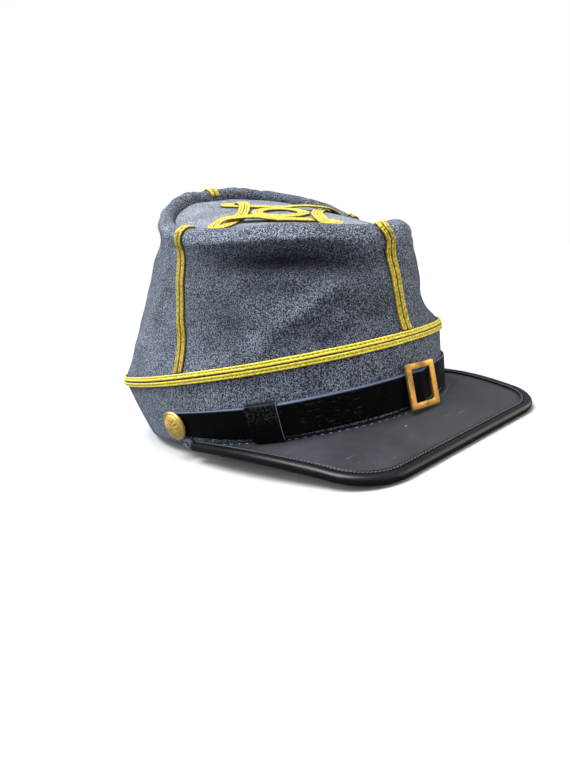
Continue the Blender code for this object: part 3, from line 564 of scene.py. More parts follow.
def crest_rise(angle):
    rise = -CREST_SKEW * np.sin(2 * angle) - CREST_SAG * np.sin(angle) ** 2
    for _, degrees, spread, height in CREST_WAVES:
        rise = rise + height * bell(turn_from(angle, degrees), spread)
    return rise


def beside_crest(angle, inset):
    """A place in the plane of the crest, this far in from the roll's top line, as (across, along)."""
    across = CREST_HALF_WIDTH * np.sin(angle)
    along = -CREST_HALF_LENGTH * np.cos(angle)
    away = unit(np.stack([across / CREST_HALF_WIDTH**2, along / CREST_HALF_LENGTH**2], axis=-1))
    return across - away[..., 0] * inset, along - away[..., 1] * inset


def roll_size(angle):
    """The roll's added half size, and the neck's share of its size."""
    added, neck = 0.0, ROLL_NECK
    for _, degrees, spread, lump, neck_lump in ROLL_LUMPS:
        nearness = bell(turn_from(angle, degrees), spread)
        added = added + lump * nearness
        neck = neck + neck_lump * nearness
    return added, neck


def roll_point(angle, section):
    """The roll's skin. Section angle 0 is its outer side, and 90 degrees its top."""
    added, neck = roll_size(angle)
    grown = np.clip((section - NECK_ANGLE) / (NECK_END - NECK_ANGLE), 0, 1)
    share = neck + (1 - neck) * grown * grown * (3 - 2 * grown)
    outward = share * (ROLL_HALF_WIDTH + added) * np.cos(section)
    upward = share * (ROLL_HALF_HEIGHT + added) * np.sin(section)
    across, along = beside_crest(angle, -outward)
    return crest_plane(across, along, crest_rise(angle) + upward - ROLL_HALF_HEIGHT)


def cloth_waves(points):
    """The slight unevenness of worn cloth, from about -1 to 1."""
    dice = random.Random(4)
    total = 0.0
    for _ in range(CLOTH_WAVES):
        length = dice.uniform(*WAVE_LENGTHS)
        toward = np.array([dice.gauss(0, 1) for _ in range(3)])
        toward = toward / np.linalg.norm(toward)
        total = total + np.sin(points @ toward * math.tau / length + dice.uniform(0, math.tau))
    return total / WAVE_SHARE


def wall_point(angle, rise):
    """The crown's wall between the braid ring, at rise 0, and the neck under the roll, at rise 1."""
    angle, rise = np.broadcast_arrays(angle, rise)
    low = band_point(angle - SEAM_LEAD * np.sin(angle), np.full(angle.shape, CLEAR / 2))
    neck = roll_point(angle, np.full(angle.shape, NECK_ANGLE))
    outward = unit(low * np.array((1 / RING_HALF_WIDTH**2, 1 / RING_HALF_LENGTH**2, 0)))
    held = np.clip(rise / HELD_BELOW, 0, 1) * np.clip((1 - rise) / HELD_ABOVE, 0, 1)
    depth = 0.0
    for _, degrees, height, spread, spread_up, fold in WALL_FOLDS:
        depth = depth + fold * bell(turn_from(angle, degrees), spread) * bell(rise - height, spread_up)
    straight = low + (neck - low) * rise[..., None]
    for _, from_turn, from_rise, to_turn, to_rise, half_width, fold in WALL_CREASES:
        span = np.array((math.radians((to_turn - from_turn + 180) % 360 - 180), to_rise - from_rise))
        span = span * (PANEL_RADIUS, PANEL_RISE)
        at = np.radians(turn_from(angle, from_turn)) * PANEL_RADIUS, (rise - from_rise) * PANEL_RISE
        reach = math.hypot(*span)
        ahead = (at[0] * span[0] + at[1] * span[1]) / reach
        aside = (at[1] * span[0] - at[0] * span[1]) / reach
        past_end = np.maximum(0, np.abs(ahead - reach / 2) - reach / 2)
        depth = depth + fold * bell(np.hypot(aside, past_end), half_width)
    depth = depth + WALL_UNEVENNESS * cloth_waves(straight)
    return straight + outward * (smooth_table(WALL_FULLNESS, rise) + held * depth)[..., None]


def crown_skin(angle, course):
    """The crown's outer skin: course 0 to 1 is the wall, 1 to 2 the roll down to its foot."""
    angle, course = np.broadcast_arrays(np.asarray(angle, float), course)
    section = NECK_ANGLE + (ROLL_FOOT_ANGLE - NECK_ANGLE) * (course - 1)
    on_wall = wall_point(angle, np.clip(course, 0, 1))
    on_roll = roll_point(angle, np.maximum(section, NECK_ANGLE))
    return np.where((course <= 1)[..., None], on_wall, on_roll)


def disc_height(across, along):
    """The disc's upper face, above the plane of the crest. Its rim follows the roll."""
    reach = (across / CREST_HALF_WIDTH) ** 2 + (along / CREST_HALF_LENGTH) ** 2
    middle = DISC_DOME * (1 - reach) - DISC_SADDLE * (across / DISC_SADDLE_REACH) ** 2 - DISC_SINK
    middle = middle + DISC_SIDE_TILT * across + DISC_FORE_TILT * along
    rim = crest_rise(np.arctan2(across / CREST_HALF_WIDTH, -along / CREST_HALF_LENGTH)) - DISC_RIM_SINK
    return middle + (rim - middle) * np.minimum(1.0, reach**DISC_RIM_TURN)


def disc_point(across, along, up=0.0):
    return crest_plane(across, along, disc_height(across, along) + up)


# name, degrees round from the front, spread round, how far the neck under the roll is eased away
EASED_NECK = (
    ("front left", 55, 60, 1.0),
    ("front right", -35, 45, 1.0),
    ("front seam", -2, 14, 0.7),
    ("right seam", -90, 18, 0.8),
    ("back right", -140, 40, 0.15),
    ("back left", 140, 40, 0.4),
)
CROWN_COLUMNS = 320
WALL_STEPS = 72
ROLL_STEPS = 34
EASING_ROUNDS = 40
EASING = 0.5
EASING_REACH = 0.22  # in courses
SHOULDER_REACH = 0.13
WRINKLE_COURSE = 1.62
WRINKLE_REACH = 0.22
WRINKLE_SLANT = 9  # degrees round for each course up
WRINKLE_PIVOT = 1.6
UNEVENNESS = 0.00035
SEAM_HOLD = 0.8  # how much flatter the braid holds the cloth beside each seam
SEAM_HOLD_REACH = 7  # degrees
FOOT_HOLD = 0.125  # in courses, from the seam with the band
FINER_WAVES = 1.3
INNER_EVERY = 3  # the inner skin has only every third row of the outer one's points
crown_angles = (np.arange(CROWN_COLUMNS) * math.tau / CROWN_COLUMNS)[:, None]
crown_courses = np.concatenate([np.linspace(0, 1, WALL_STEPS), np.linspace(1, 2, ROLL_STEPS)[1:]])[None, :]
outer_skin = crown_skin(crown_angles, crown_courses)
eased = sum(share * bell(turn_from(crown_angles, degrees), spread) for _, degrees, spread, share in EASED_NECK)
easing = np.clip(eased, 0, 1) * bell(crown_courses - 1, EASING_REACH) * EASING
for _ in range(EASING_ROUNDS):
    between = (outer_skin[:, :-2] + outer_skin[:, 2:]) / 2
    outer_skin[:, 1:-1] += (between - outer_skin[:, 1:-1]) * easing[:, 1:-1, None]
across, along = np.sin(crown_angles) / CREST_HALF_WIDTH, -np.cos(crown_angles) / CREST_HALF_LENGTH
away = unit(np.stack([across, along], axis=-1))
away = np.concatenate([away, 0 * away[..., :1]], axis=-1)
hang = sum(
    out * bell(turn_from(crown_angles, degrees), spread) * bell(crown_courses - course, SHOULDER_REACH)
    for _, degrees, course, spread, out in SHOULDERS
)
outer_skin += away * hang[..., None]
wrinkled = sum(
    depth * bell(turn_from(crown_angles, degrees) + WRINKLE_SLANT * (crown_courses - WRINKLE_PIVOT), spread)
    for _, degrees, spread, depth in ROLL_WRINKLES
)
round_it = np.roll(outer_skin, -1, axis=0) - np.roll(outer_skin, 1, axis=0)
outward = unit(np.cross(round_it, np.gradient(outer_skin, axis=1)))
outer_skin += outward * (wrinkled * bell(crown_courses - WRINKLE_COURSE, WRINKLE_REACH))[..., None]
beside_seams = sum(bell(turn_from(crown_angles, degrees), SEAM_HOLD_REACH) for degrees in (0, 90, 180, -90))
loose = np.clip(crown_courses / FOOT_HOLD, 0, 1) * (1 - SEAM_HOLD * beside_seams)
outer_skin += outward * (UNEVENNESS * cloth_waves(outer_skin * FINER_WAVES) * loose)[..., None]
# Painted light and shade on the crown: paler on the roll and on lit folds, darker in the dent and the hollows.
crown_painted_light = sum(
    amount * bell(turn_from(crown_angles, degrees), spread) * bell(crown_courses - course, courses_spread)
    for _, degrees, course, spread, courses_spread, amount in CROWN_PAINTED_LIGHT
)


def crown_at(angle, course):
    """A place on the finished crown's outer skin, read between its grid of points."""
    column = np.mod(angle, math.tau) / math.tau * CROWN_COLUMNS
    row = np.interp(course, crown_courses[0], np.arange(crown_courses.shape[1]))
    first, below = np.floor(column).astype(int), np.floor(row).astype(int)
    below = np.minimum(below, crown_courses.shape[1] - 2)
    ahead, above = (column - first)[..., None], (row - below)[..., None]
    first, second = first % CROWN_COLUMNS, (first + 1) % CROWN_COLUMNS
    low = outer_skin[first, below] * (1 - ahead) + outer_skin[second, below] * ahead
    high = outer_skin[first, below + 1] * (1 - ahead) + outer_skin[second, below + 1] * ahead
    return low * (1 - above) + high * above


UNDER_DISC = 1.1 * CLOTH + 1.5 * CLEAR
turned_in = []
for inset in (0.0, TURN_IN):
    across, along = beside_crest(crown_angles, ROLL_HALF_WIDTH + roll_size(crown_angles)[0] + inset)
    turned_in.append(disc_point(across, along, -UNDER_DISC))
whole_skin = np.concatenate([outer_skin, *turned_in], axis=1)
round_it = np.roll(whole_skin, -1, axis=0) - np.roll(whole_skin, 1, axis=0)
up_it = np.gradient(whole_skin, axis=1)
inner_skin = whole_skin - unit(np.cross(round_it, up_it)) * CLOTH
inner_skin[:, 0] += up_it[:, 0] * ((whole_skin[:, 0, 2] - inner_skin[:, 0, 2]) / up_it[:, 0, 2])[:, None]
last = whole_skin.shape[1] - 1
kept = [*range(0, last - INNER_EVERY + 1, INNER_EVERY), last]
crown_loop = np.concatenate([whole_skin, inner_skin[:, kept[::-1]]], axis=1)
# The turned-in cloth and the inner skin get no painted light or shade.
unpainted_inside = np.zeros((CROWN_COLUMNS, crown_loop.shape[1] - crown_courses.shape[1]))
crown_painted_light = np.concatenate([crown_painted_light, unpainted_inside], axis=1)
crown = laid("crown_side", crown_loop, sew_rows=True, sew_columns=True, painted_light_and_wear=crown_painted_light)
crown.data.materials.append(wool)
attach(crown, "root")
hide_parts("crown_front_left", "crown_front_right", "crown_back_left", "crown_back_right")


# ----------------------------------------------------------------------------
# The top: a disc of paler, smoother wool, cut to the oval of the roll and sewn inside the roll's foot. It lies
# sunk in the roll, and sags between its two sides.
pale_wool = wool_material(
    "Pale wool", (0.055, 0.060, 0.075), (0.14, 0.148, 0.172), (0.41, 0.43, 0.49), 1.55, 0.0003
)
DISC_COLUMNS, DISC_ROWS = 200, 44
DISC_INNERMOST = 0.02  # share of its radius
DISC_UNEVENNESS = 0.00018
DISC_SEWN = 0.97  # share of its radius where it is sewn down, and even
disc_angles = (np.arange(DISC_COLUMNS) * math.tau / DISC_COLUMNS)[:, None]
rim_across, rim_along = beside_crest(disc_angles, ROLL_HALF_WIDTH + roll_size(disc_angles)[0] + 0.5 * CLEAR)
disc_shares = np.concatenate([[0.0], np.linspace(DISC_INNERMOST, 1.0, DISC_ROWS)])
disc_top = disc_point(rim_across * disc_shares, rim_along * disc_shares)
uneven_disc = DISC_UNEVENNESS * cloth_waves(disc_top) * (disc_shares < DISC_SEWN)
disc_top = disc_top + CREST_UP * uneven_disc[..., None]
disc_below = disc_point(rim_across * disc_shares[::-3], rim_along * disc_shares[::-3], -CLOTH)
top = laid("top_disc", np.concatenate([disc_top, disc_below], axis=1), sew_rows=True)
top.data.materials.append(pale_wool)
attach(top, "root")
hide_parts("crown_top")


# ----------------------------------------------------------------------------
# Yellow braid: flat soutache, two plaited ridges with a groove between them, couched down in pairs of rows.
# Two rows cover the seam between the band and the crown.
BRAID_WIDTH = 0.0032
BRAID_HEIGHT = 0.0011
RING_ROW_WIDTH = 0.00245  # the ring's rows are pulled tighter
RING_PITCH = 0.00246
RING_DROP = 0.0003  # how far the pair sits below the seam
PLAIT_LENGTH = 0.0021  # from one thread of the plait to the next
PLAIT_SLANT = 0.9  # how far a thread leads along the braid, as a share of how far it goes across
PLAIT_LEAD = PLAIT_SLANT * BRAID_WIDTH / 2 / PLAIT_LENGTH  # in threads, at the braid's edge
PLAIT_RELIEF = 0.00009
STEPS_A_PLAIT = 4
BRAID_ACROSS = np.array((-1, -0.97, -0.84, -0.62, -0.40, -0.18, 0, 0.18, 0.40, 0.62, 0.84, 0.97, 1))
# share of the half width, share of the height: a ridge to each side of the middle groove
BRAID_SECTION = ((0, 0.55), (0.18, 0.78), (0.40, 0.98), (0.62, 1.0), (0.84, 0.88), (0.97, 0.60), (1, 0.0))
UNDERSIDE = 2.0  # the measure across on the braid's back
THREADS_STRAY = 0.22  # in threads
RELIEF_VARIES, HEIGHT_VARIES, WIDTH_VARIES = 0.4, 0.06, 0.03


def walked_along(line):
    """How far along a line of points each of them lies."""
    return np.concatenate([[0.0], np.cumsum(np.linalg.norm(np.diff(line, axis=0), axis=1))])


def points_at(stops, walked, line):
    """The points at these distances along a line."""
    return np.stack([np.interp(stops, walked, line[:, k]) for k in range(3)], axis=1)


def fill_ends():
    """Closes the open ends of the piece just laid."""
    bpy.ops.object.mode_set(mode="EDIT")
    bpy.ops.mesh.select_all(action="DESELECT")
    bpy.ops.mesh.select_mode(type="EDGE")
    bpy.ops.mesh.select_non_manifold()
    bpy.ops.mesh.edge_face_add()
    bpy.ops.object.mode_set(mode="OBJECT")


def braid_row(name, path, across, outward, closed, row_width=BRAID_WIDTH, paleness=None):
    """One row of soutache along a dense path, with the cloth's outward direction at each of its points.

    Paleness, if given, is how far the braid has its own colour, rather than its darker one, at each
    of those points.
    """
    if closed:
        path, across, outward = (np.concatenate([line, line[:1]]) for line in (path, across, outward))
        paleness = None if paleness is None else np.append(paleness, paleness[0])
    walked = walked_along(path)
    plaits = max(4, round(walked[-1] / PLAIT_LENGTH))
    count = plaits * STEPS_A_PLAIT
    stops = np.linspace(0, walked[-1], count + 1)[: count if closed else count + 1]
    round_section = len(BRAID_ACROSS) + 1
    paleness = None if paleness is None else np.tile(np.interp(stops, walked, paleness)[:, None], (1, round_section))
    path, across, outward = (points_at(stops, walked, line) for line in (path, across, outward))
    across, outward = unit(across), unit(outward)
    q = np.abs(BRAID_ACROSS)
    ridge = np.interp(q, *zip(*BRAID_SECTION))
    dice = np.random.default_rng(plaits)
    uneven = dice.uniform(-1, 1, (3, plaits))
    uneven[:, -1] = uneven[:, 0]
    at_plaits = np.linspace(0, walked[-1], plaits)
    late, thick, wide = (np.interp(stops, at_plaits, line)[:, None] for line in uneven)
    worked = stops[:, None] / walked[-1] * plaits + THREADS_STRAY * late
    turns = math.tau * (worked + q * PLAIT_LEAD)
    relief = PLAIT_RELIEF * (1 + RELIEF_VARIES * thick) * np.cos(turns) * (ridge > 0)
    height = CLEAR + ridge * (BRAID_HEIGHT - PLAIT_RELIEF) * (1 + HEIGHT_VARIES * thick) + relief
    height[:, 0] = height[:, -1] = CLEAR
    width = row_width / 2 * (1 + WIDTH_VARIES * np.cos(turns) + WIDTH_VARIES * wide)
    path, across, outward = (line[:, None] for line in (path, across, outward))
    upper = path + across * (BRAID_ACROSS * width)[..., None] + outward * height[..., None]
    points = np.concatenate([upper, path + outward * CLEAR], axis=1)
    measures = np.stack(np.broadcast_arrays(worked, np.append(BRAID_ACROSS, UNDERSIDE)), axis=-1)
    made = laid(name, points, measures, sew_rows=closed, sew_columns=True, painted_light_and_wear=paleness)
    if not closed:
        fill_ends()
    return made


def own_measures(tree):
    """The two numbers of the piece's own UV map."""
    return node(tree, "SeparateXYZ", {0: node(tree, "TexCoord").outputs["UV"]}).outputs


# the dark of the braid's stitches, its dirt specks and its painted shade
BRAID_DIRT_AND_SHADE = (0.11, 0.070, 0.001)


def braid_material(name, colour, darker_colour, edge_from, groove_light, soiled):
    """Yellow silk-like thread: smooth pale ridges, a groove pricked by its stitches, speckled. The groove, the
    edges and the gaps between the plait's threads are darkened as painted shade.

    It has its own colour where its painted light and wear is 1, and the darker colour where that is 0.
    """
    made, tree, shader = plain_material(name, colour, 0.65, gloss=0.3)
    shader.inputs["Sheen Weight"].default_value = 0.1
    measures = own_measures(tree)
    q = maths(tree, "ABSOLUTE", measures["Y"])
    lead = maths(tree, "MULTIPLY_ADD", q, PLAIT_LEAD, measures["X"])
    turn = maths(tree, "MULTIPLY", lead, math.tau)
    pricked = ramp(tree, maths(tree, "COSINE", turn), -0.2, -0.9, 0.0, 0.75)
    pricked = maths(tree, "MULTIPLY", pricked, ramp(tree, q, 0.42, 0.12))
    # Painted shade: darker in the gaps between the plait's threads, at the edges and in the groove.
    finer = ramp(tree, maths(tree, "COSINE", maths(tree, "MULTIPLY", turn, 2.0)), -1.0, 0.0, 0.72)
    edge = ramp(tree, q, 0.99, edge_from)
    groove = ramp(tree, q, 0.05, 0.30, groove_light)
    place = object_place(tree)
    painted_light_and_wear = ramp(tree, noise(tree, place, 900.0, 3.0, 0.7), 0.40, 0.58, soiled)
    light = maths(tree, "SUBTRACT", 1.0, pricked)
    for part in (finer, edge, groove, painted_light_and_wear):
        light = maths(tree, "MULTIPLY", light, part)
    # The darker colour where the piece's attribute is low: painted shade on the seams below the roll.
    silk = mixed(tree, node(tree, "Attribute", attribute_name="Painted_light_and_wear").outputs["Fac"], darker_colour, colour)
    strands = bump(tree, noise(tree, place, 2600.0, 2.0), 0.0001, 0.4)
    feed(tree, shader, Colour=mixed(tree, light, BRAID_DIRT_AND_SHADE, silk), Normal=strands)
    return made


RING_YELLOW = (0.83, 0.70, 0.062)
RING_DARKER = (0.56, 0.47, 0.042)
FIRST_RISE = 0.07  # the wall is nearly straight from its foot up to here
RING_STEPS = 1200
PALEST_MIDDLE, PALEST_REACH = -20, 55  # degrees: the ring is palest beside the buckle, and darker away from it
RING_RISE = 0.03  # the upper row faces as the wall does at this share of its way up
ring_yellow = braid_material(
    "Yellow braid", RING_YELLOW, RING_DARKER, edge_from=0.96, groove_light=0.88, soiled=0.5
)
ring_turns = np.arange(RING_STEPS) * math.tau / RING_STEPS
ring_paleness = bell(turn_from(ring_turns, PALEST_MIDDLE), PALEST_REACH)
foot, higher = (wall_point(ring_turns, np.full(RING_STEPS, rise)) for rise in (0.0, FIRST_RISE))
upper_path = foot + (higher - foot) * ((RING_PITCH / 2 - RING_DROP) / (higher[:, 2] - foot[:, 2]))[:, None]
lower = (ring_turns - SEAM_LEAD * np.sin(ring_turns), np.full(RING_STEPS, -RING_PITCH / 2 - RING_DROP))
for level, path, surface, place in (
    ("upper", upper_path, wall_point, (ring_turns, np.full(RING_STEPS, RING_RISE))),
    ("lower", band_point(*lower), band_point, lower),
):
    beside, _, outward = facing(surface, *place)
    across = unit(np.cross(outward, beside))
    row = braid_row(f"braid_{level}", path, across, outward, True, RING_ROW_WIDTH, ring_paleness)
    row.data.materials.append(ring_yellow)
    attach(row, "root")
    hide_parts(f"band_braid_{level}")


# ----------------------------------------------------------------------------
# The same braid covers the crown's four seams, two rows sewn down side by side on each, from the ring up over
# the roll to the disc. Below the roll it is darkened as painted shade, most on the right seam.
SEAM_FOOT = 0.0025  # above the seam, at the upper edge of the ring's braid
SEAM_TOP_LEAN = math.radians(-3.0)  # how far the front seam's top is drawn aside
ROLL_FROM, ROLL_REACHED = 0.90, 0.45  # courses: where the braid starts over the roll, and how long it takes
SEAM_STEPS = 400
SEAM_YELLOW = (0.74, 0.62, 0.055)  # on the roll
# name, degrees round from the front, last course, one row's width, from row to row, its colour below the roll,
# darkened there as painted shade
SEAMS = (
    ("front", 0.9, 1.52, 0.0029, 0.0036, (0.64, 0.50, 0.036)),
    ("left", 90, 1.60, 0.0026, 0.0033, (0.52, 0.41, 0.036)),
    ("back", 180, 1.80, 0.0026, 0.0033, (0.52, 0.41, 0.036)),
    ("right", -89.2, 1.66, 0.0026, 0.0033, (0.40, 0.305, 0.023)),
)
for seam, degrees, last, row_width, pitch, shaded_yellow in SEAMS:
    seam_yellow = braid_material(
        f"Braid of the {seam} seam", SEAM_YELLOW, shaded_yellow, edge_from=0.80, groove_light=0.62, soiled=0.15
    )
    low, high = crown_at(np.full(2, math.radians(degrees)), np.array((0.0, FIRST_RISE)))[:, 2]
    courses = np.linspace(FIRST_RISE * SEAM_FOOT / (high - low), last, SEAM_STEPS)
    # How far over the roll: it draws the front seam's top aside, and fades out the seams' painted shade.
    over_the_roll = np.clip((courses - ROLL_FROM) / ROLL_REACHED, 0, 1) ** 2
    angle = math.radians(degrees) + SEAM_TOP_LEAN * over_the_roll * (seam == "front")
    middle = crown_at(angle, courses)
    beside, upward, outward = facing(crown_at, angle, courses, step=0.02)
    across = unit(beside - upward * np.sum(beside * upward, axis=1, keepdims=True))
    outward = unit(np.cross(across, upward))
    for letter, side in (("a", -1), ("b", 1)):
        path = middle + across * side * pitch / 2
        row = braid_row(f"braid_{seam}_seam_{letter}", path, across, outward, False, row_width, over_the_roll)
        row.data.materials.append(seam_yellow)
        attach(row, "root")
        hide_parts(f"seam_braid_{seam}_{letter}")


# ----------------------------------------------------------------------------
# The knot on the disc: two rows of the braid laid together in four loops, each crossing at its neck, round a
# small ring of the same two rows.
KNOT_TIP = 0.0435  # from the middle of the disc to a loop's tip
KNOT_WAIST = 0.0205  # and to the waist between two loops
KNOT_CURL = -0.0021
KNOT_LEAN = 0.006
KNOT_CROSSING = math.radians(29)
KNOT_CROSSING_SPREAD = math.radians(13)
KNOT_CROSSING_RISE = 0.0018
KNOT_RING_RADIUS = 0.0131
KNOT_PITCH = 0.00335  # from row to row
KNOT_STEPS = 1600
KNOT_YELLOW = (0.62, 0.50, 0.040)


def knot_path(turn):
    """The middle of the figure's two rows, as (across, along)."""
    base = (KNOT_TIP + KNOT_WAIST) / 2
    swing = (KNOT_TIP - KNOT_WAIST) / 2 - KNOT_CURL
    across = base * np.cos(turn) + swing * np.cos(3 * turn) + KNOT_CURL * np.cos(5 * turn)
    along = base * np.sin(turn) - swing * np.sin(3 * turn) + KNOT_CURL * np.sin(5 * turn)
    return np.stack([across - KNOT_LEAN * np.maximum(0, along / KNOT_TIP) ** 2, along], axis=-1)


def knot_rise(turn):
    """Each loop comes out over its own neck."""
    past_tip = (turn + math.pi / 4) % (math.pi / 2) - math.pi / 4
    return KNOT_CROSSING_RISE * np.exp(-(((past_tip - KNOT_CROSSING) / KNOT_CROSSING_SPREAD) ** 4))


def ring_path(turn):
    return KNOT_RING_RADIUS * np.stack([np.cos(turn), np.sin(turn)], axis=-1)


knot_yellow = braid_material(
    "Knot braid", KNOT_YELLOW, KNOT_YELLOW, edge_from=0.82, groove_light=0.58, soiled=0.45
)
knot_turns = np.arange(KNOT_STEPS) * math.tau / KNOT_STEPS
for figure, path, rise in (("knot", knot_path, knot_rise(knot_turns)), ("ring", ring_path, 0.0)):
    way = unit(path(knot_turns + 1e-3) - path(knot_turns - 1e-3))
    side_way = np.stack([way[:, 1], -way[:, 0]], axis=-1)
    for layer, side in (("outer", 1), ("inner", -1)):
        place = path(knot_turns) + side_way * side * KNOT_PITCH / 2
        on_disc = disc_point(place[:, 0], place[:, 1], rise)
        near, far = place - side_way * 1e-3, place + side_way * 1e-3
        across = unit(disc_point(far[:, 0], far[:, 1]) - disc_point(near[:, 0], near[:, 1]))
        row = braid_row(f"{figure}_{layer}", on_disc, across, np.tile(CREST_UP, (len(place), 1)), closed=True)
        row.data.materials.append(knot_yellow)
        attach(row, "root")
        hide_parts(f"top_{figure}_{layer}")


# ----------------------------------------------------------------------------
# The peak: a plate of stiff black leather, cut to a crescent, bent down to the front and sewn to the band's
# lower edge. It is satin, with fine scratches, specks of dust, and lint caught in its seam.
PEAK_THICKNESS = 0.0018
PEAK_JUNCTION = -0.0345
PEAK_END = np.array((0.0827, -0.0264, -0.0342))  # middle of the binding
PEAK_CORNER = np.array((0.0627, -0.1289, -0.0459))  # where its side and front lines would meet
PEAK_CORNER_RADIUS = 0.0235
PEAK_SIDE_BULGE = 0.0033
PEAK_ARCH = 0.0040
PEAK_END_ANGLE = math.radians(72.5)
BINDING_HALF_WIDTH = 0.0032
BINDING_GRIP = 0.0010
SIDE_STEPS, CORNER_STEPS, FRONT_STEPS = 60, 40, 30
BAND_STEPS = 361


def peak_height(along):
    """The peak's outer edge dips towards its front."""
    share = (PEAK_END[1] - along) / (PEAK_END[1] - PEAK_CORNER[1])
    return PEAK_END[2] + (PEAK_CORNER[2] - PEAK_END[2]) * share + PEAK_ARCH * 4 * share * (1 - share)


def peak_outline(count):
    """The middle line of the peak's binding, evenly from the left end round the front to the right end."""
    end, corner = Vector(PEAK_END[:2]), Vector(PEAK_CORNER[:2])
    to_end = (end - corner).normalized()
    to_middle = Vector((-1.0, 0.0))
    half = to_end.angle(to_middle) / 2
    centre = corner + (to_end + to_middle).normalized() * PEAK_CORNER_RADIUS / math.sin(half)
    tangent = PEAK_CORNER_RADIUS / math.tan(half)
    side_end, front_end = corner + to_end * tangent, corner + to_middle * tangent
    side = []
    for i in range(SIDE_STEPS):
        bulge = PEAK_SIDE_BULGE * math.sin(math.pi * i / SIDE_STEPS)
        side.append(end.lerp(side_end, i / SIDE_STEPS) + Vector((bulge, 0)))
    start, stop = side_end - centre, front_end - centre
    sweep = start.angle_signed(stop)
    arc = [centre + Matrix.Rotation(-sweep * i / CORNER_STEPS, 2) @ start for i in range(CORNER_STEPS)]
    front = [front_end.lerp(Vector((0.0, front_end.y)), i / FRONT_STEPS) for i in range(FRONT_STEPS + 1)]
    half_line = np.array([point[:] for point in side + arc + front])
    line = np.concatenate([half_line, half_line[-2::-1] * (-1, 1)])
    line = np.column_stack([line, peak_height(line[:, 1])])
    walked = walked_along(line)
    return points_at(np.linspace(0, walked[-1], count), walked, line)


def peak_frames(count):
    """The outline, where it is joined to the band, the ways out and up, and the binding's half width there."""
    line = peak_outline(count)
    angles = PEAK_END_ANGLE * np.linspace(1, -1, count)
    joined = off_band(angles, np.full(count, PEAK_JUNCTION), CLEAR)
    way = unit(np.gradient(line, axis=0))
    inward = joined - line
    out = -unit(inward - way * np.sum(inward * way, axis=1, keepdims=True))
    turns = np.linspace(-math.pi, math.pi, BAND_STEPS)
    face = band_point(turns, np.full(BAND_STEPS, PEAK_JUNCTION))[:, :2]
    room = np.linalg.norm(face[None] - line[:, None, :2], axis=-1).min(axis=1)
    half = np.minimum(BINDING_HALF_WIDTH, room - 1.5 * CLEAR)
    return line, joined, out, unit(np.cross(way, out)), half


def scratched_leather_group():
    """Leather's fine pores, long light scratches and pale specks of dust, as masks and a height."""
    inputs = {"Grain": "Float", "Scratches": "Float", "Specks": "Float"}
    outputs = {"Height": "Float", "Scratched": "Float", "Dusty": "Float", "Cloudy": "Float"}
    tree, given, outlet = shader_group("Leather wear", inputs, outputs)
    place = object_place(tree)
    pores = node(tree, "TexVoronoi", {"Vector": place, "Scale": given["Grain"]}).outputs["Distance"]
    drawn_out = {"Vector": place, "Rotation": (0.1, 0.2, 0.6), "Scale": (90.0, 1400.0, 400.0)}
    streaks = noise(tree, node(tree, "Mapping", drawn_out).outputs[0], 1.0, 3.0, 0.6)
    dust = node(tree, "TexVoronoi", {"Vector": place, "Scale": 190.0}).outputs["Distance"]
    speck_size = ramp(tree, noise(tree, place, 160.0, 1.0), 0.52, 0.75, 0.0, 0.1)
    made = {
        "Height": maths(tree, "MULTIPLY_ADD", pores, 0.6, noise(tree, place, 900.0, 4.0, 0.6)),
        "Scratched": maths(tree, "MULTIPLY", ramp(tree, streaks, 0.66, 0.74), given["Scratches"]),
        "Dusty": maths(tree, "MULTIPLY", maths(tree, "LESS_THAN", dust, speck_size), given["Specks"]),
        "Cloudy": noise(tree, place, 38.0, 4.0, 0.6),
    }
    for name, source in made.items():
        tree.links.new(source, outlet[name])
    return tree


leather_wear = scratched_leather_group()


def leather_material(
    name, colour, worn_colour, roughness, grain=2200.0, relief=0.00005, scratches=0.5, specks=0.0, gloss=0.5
):
    """Dyed leather with its grain, its scratches in a paler colour and its duller patches."""
    made, tree, shader = plain_material(name, colour, roughness, gloss)
    inputs = {"Grain": grain, "Scratches": scratches, "Specks": specks}
    wear = node(tree, "Group", inputs, node_tree=leather_wear).outputs
    spoiled = maths(tree, "MAXIMUM", wear["Scratched"], wear["Dusty"])
    clouded = mixed(tree, 1.0, colour, ramp(tree, wear["Cloudy"], 0.3, 0.7, 0.8, 1.2), "MULTIPLY")
    dull = ramp(tree, wear["Cloudy"], 0.3, 0.7, roughness * 0.85, min(1.0, roughness * 1.2))
    grained = bump(tree, wear["Height"], relief, 0.5)
    feed(tree, shader, Colour=mixed(tree, spoiled, clouded, worn_colour), Roughness=dull, Normal=grained)
    return made


def laid_over(tree, mask, colour):
    """One more colour over a leather's own, as far as its mask goes."""
    base = tree.nodes["Principled BSDF"].inputs["Base Color"]
    tree.links.new(mixed(tree, mask, base.links[0].from_socket, colour), base)


LINT = (0.07, 0.085, 0.115)  # caught along the seam, where the peak's measure across is 0
peak_leather = leather_material(
    "Peak leather", (0.016, 0.018, 0.022), (0.22, 0.22, 0.21), 0.52, scratches=0.3, specks=0.8, gloss=0.42
)
tree = peak_leather.node_tree
by_seam = ramp(tree, own_measures(tree)["Y"], 0.05, 0.0)
tufts = noise(tree, object_place(tree), 420.0, 5.0, 0.75)
lint = ramp(tree, maths(tree, "MULTIPLY_ADD", by_seam, 0.16, tufts), 0.66, 0.74)
laid_over(tree, maths(tree, "MULTIPLY", lint, by_seam), LINT)
PEAK_COLUMNS, PEAK_ROWS = 200, 26
SNUG = 0.00004  # between the peak's inner edge and the band
line, joined, out, up, half = peak_frames(PEAK_COLUMNS)
edge = line - out * (BINDING_GRIP * half / BINDING_HALF_WIDTH)[:, None]
sheet = joined[:, None] + (edge - joined)[:, None] * np.linspace(0, 1, PEAK_ROWS)[None, :, None]
lift = unit(np.cross(np.gradient(sheet, axis=0), np.gradient(sheet, axis=1)))
